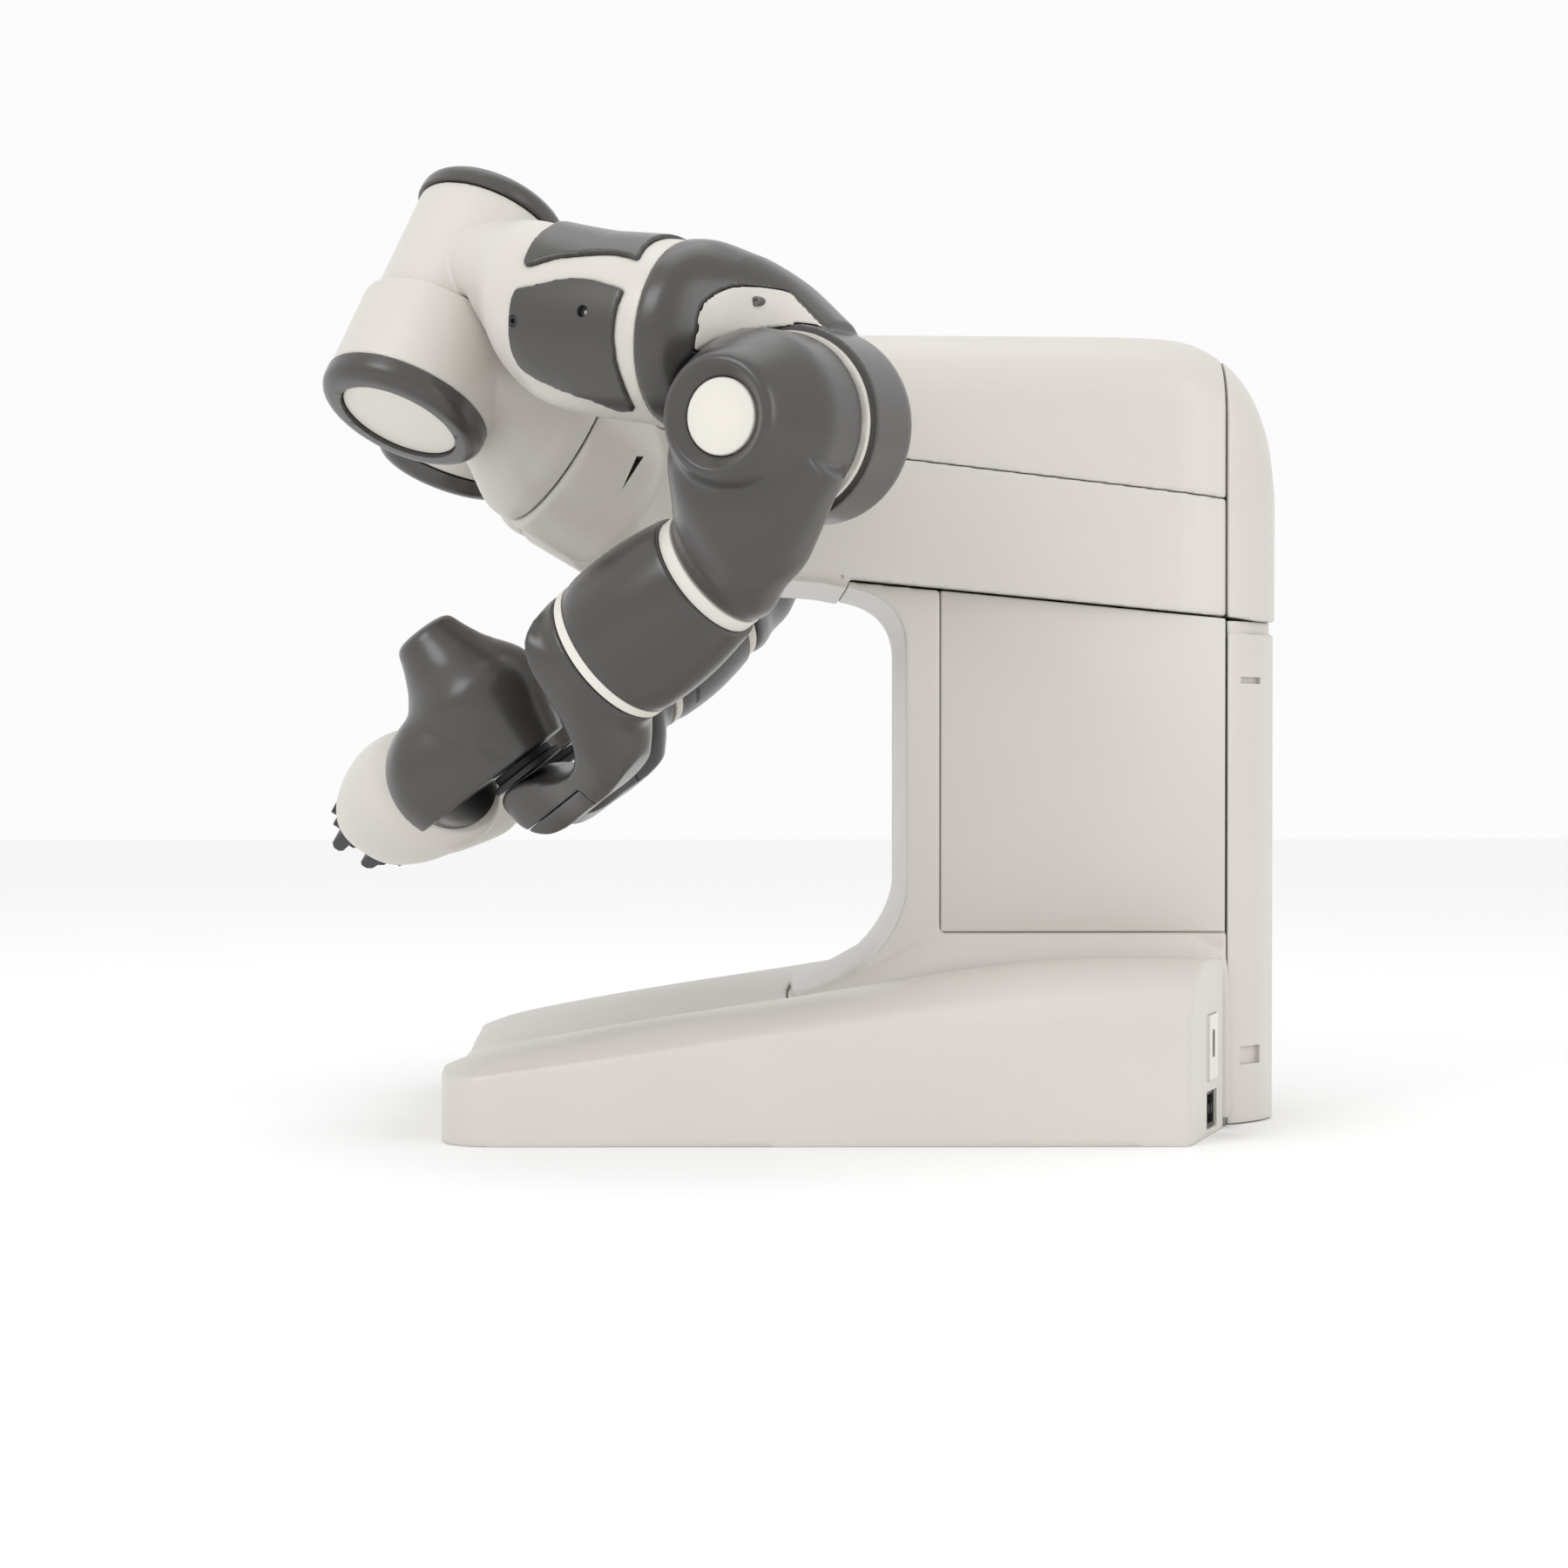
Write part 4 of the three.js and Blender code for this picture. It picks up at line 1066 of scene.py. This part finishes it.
def build_arms():
    """All the pieces of both arms. The forearm's drum is drawn in joint 5's frame before it turns."""
    one, two, three, four, five, six, seven = FRAMES
    forearm = four @ step_matrix(4)
    dark, light, cream = "dark_shell", "light_shell", "cream_trim"
    metal, black = "motor_metal", "black_plastic"
    table = [
        (one, "shoulder", "shoulder_shell", shoulder_shell, LIGHT, light),
        (one, "shoulder", "shoulder_ring", shoulder_ring, DARK, dark),
        (one, "shoulder", "shoulder_disc", shoulder_disc, CREAM, cream),
        (two, "upper_arm", "upper_arm_shell", upper_arm_shell, LIGHT, light),
        (two, "upper_arm", "upper_arm_cap", upper_arm_cap, DARK, dark),
        (two, "upper_arm", "upper_arm_pad_outer", lambda: upper_arm_pad(PAD_OUTER, PAD_HOLES), DARK, dark),
        (two, "upper_arm", "upper_arm_pad_top", lambda: upper_arm_pad(PAD_TOP), DARK, dark),
        (three, "elbow_link", "elbow_hook", elbow_hook, DARK, dark),
        (three, "elbow_link", "elbow_ring", elbow_ring, CREAM, cream),
        (three, "elbow_link", "elbow_liner", elbow_liner, LIGHT, light),
        (four, "forearm", "elbow_shell", elbow_shell, DARK, dark),
        (four, "forearm", "elbow_disc", elbow_disc, CREAM, cream),
        (forearm, "forearm", "forearm_ring", forearm_ring, CREAM, cream),
        (forearm, "forearm", "forearm_drum", forearm_drum, DARK, dark),
        (forearm, "forearm", "wrist_ring", wrist_ring, CREAM, cream),
        (five, "wrist_link", "wrist_hook", wrist_hook, DARK, dark),
        (five, "wrist_link", "wrist_hook_cover", wrist_hook_cover, DARK, dark),
        (five, "wrist_link", "wrist_motor", wrist_motor, BLACK, metal),
        (six, "wrist", "wrist_housing", wrist_housing, DARK, dark),
        (seven, "gripper", "tool_flange", tool_flange, METAL, metal),
        (seven, "gripper", "gripper_housing", gripper_housing, LIGHT, light),
        (seven, "finger_a", "finger_a", lambda: finger(1), BLACK, black),
        (seven, "finger_b", "finger_b", lambda: finger(-1), BLACK, black),
    ]
    for joint_frame, body, name, make, paint, slot in table:
        arm_pair(joint_frame, body, name, make(), paint, [name])
    arm_pair(two, "upper_arm", "upper_arm_screws", upper_arm_screws(), BLACK)
    arm_pair(three, "elbow_link", "elbow_liner_screw", liner_screw(), METAL)
    # Painted shade: a black band on the forearm drum, standing for the shade inside its drain slot, which is
    # not cut.
    arm_pair(forearm, "forearm", "forearm_drain_slot_painted_shade", slot_shade_band(), BLACK)
    arm_pair(seven, "gripper", "finger_rail", finger_rail(), BLACK)


def paint_hidden_nodes():
    """Materials for the CAD nodes that stay: the electronics and motors inside the covers."""
    kept = {
        "control_unit": BLACK, "power_supply": METAL,
        "shoulder_motor_left": METAL, "shoulder_motor_right": METAL,
    }
    for name, paint in kept.items():
        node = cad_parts[name]
        node.data.materials.clear()
        node.data.materials.append(paint)


# ---- Stage, in metres ----
ROBOT_MIDDLE = (-0.1, 0, 0.22)


def floor():
    bpy.ops.mesh.primitive_plane_add(size=14)
    plane = bpy.context.object
    plane.name = "floor"
    plane.data.materials.append(FLOOR)


def softbox(name, at, size, power):
    """A rectangular lamp that faces the middle of the robot."""
    lamp = bpy.data.lights.new(name, "AREA")
    lamp.shape = "RECTANGLE"
    lamp.size, lamp.size_y = size
    lamp.energy = power
    made = bpy.data.objects.new(name, lamp)
    bpy.context.scene.collection.objects.link(made)
    made.location = at
    made.rotation_euler = (Vector(ROBOT_MIDDLE) - Vector(at)).to_track_quat("-Z", "Y").to_euler()


def light():
    scene = bpy.context.scene
    world = bpy.data.worlds.new("studio")
    world.use_nodes = True
    sky = world.node_tree.nodes["Background"]
    sky.inputs["Color"].default_value = (1, 1, 1, 1)
    sky.inputs["Strength"].default_value = 0.97
    scene.world = world
    scene.view_settings.view_transform = "Standard"
    softbox("key", (1.3, 1.6, 1.7), (1.0, 1.0), 12)
    softbox("side", (-1.5, 1.7, 0.9), (0.5, 1.6), 7)
    softbox("top", (0.0, -0.2, 2.2), (1.4, 1.4), 5)


def camera():
    made = bpy.data.cameras.new("camera")
    holder = bpy.data.objects.new("camera", made)
    bpy.context.scene.collection.objects.link(holder)
    made.sensor_width = 36
    made.lens = 73.35
    made.shift_x = 0.0031
    made.shift_y = 0.015
    made.clip_end = 30
    azimuth, elevation, distance = -0.01356, 0.01426, 2.0055
    target = Vector((-0.07997, 0, 0.19009))
    level = math.cos(elevation)
    back = Vector((-math.sin(azimuth) * level, math.cos(azimuth) * level, math.sin(elevation)))
    holder.location = target + back * distance
    holder.rotation_euler = back.to_track_quat("Z", "Y").to_euler()
    bpy.context.scene.camera = holder


camera()
light()
floor()
build_torso()
build_arms()
paint_hidden_nodes()
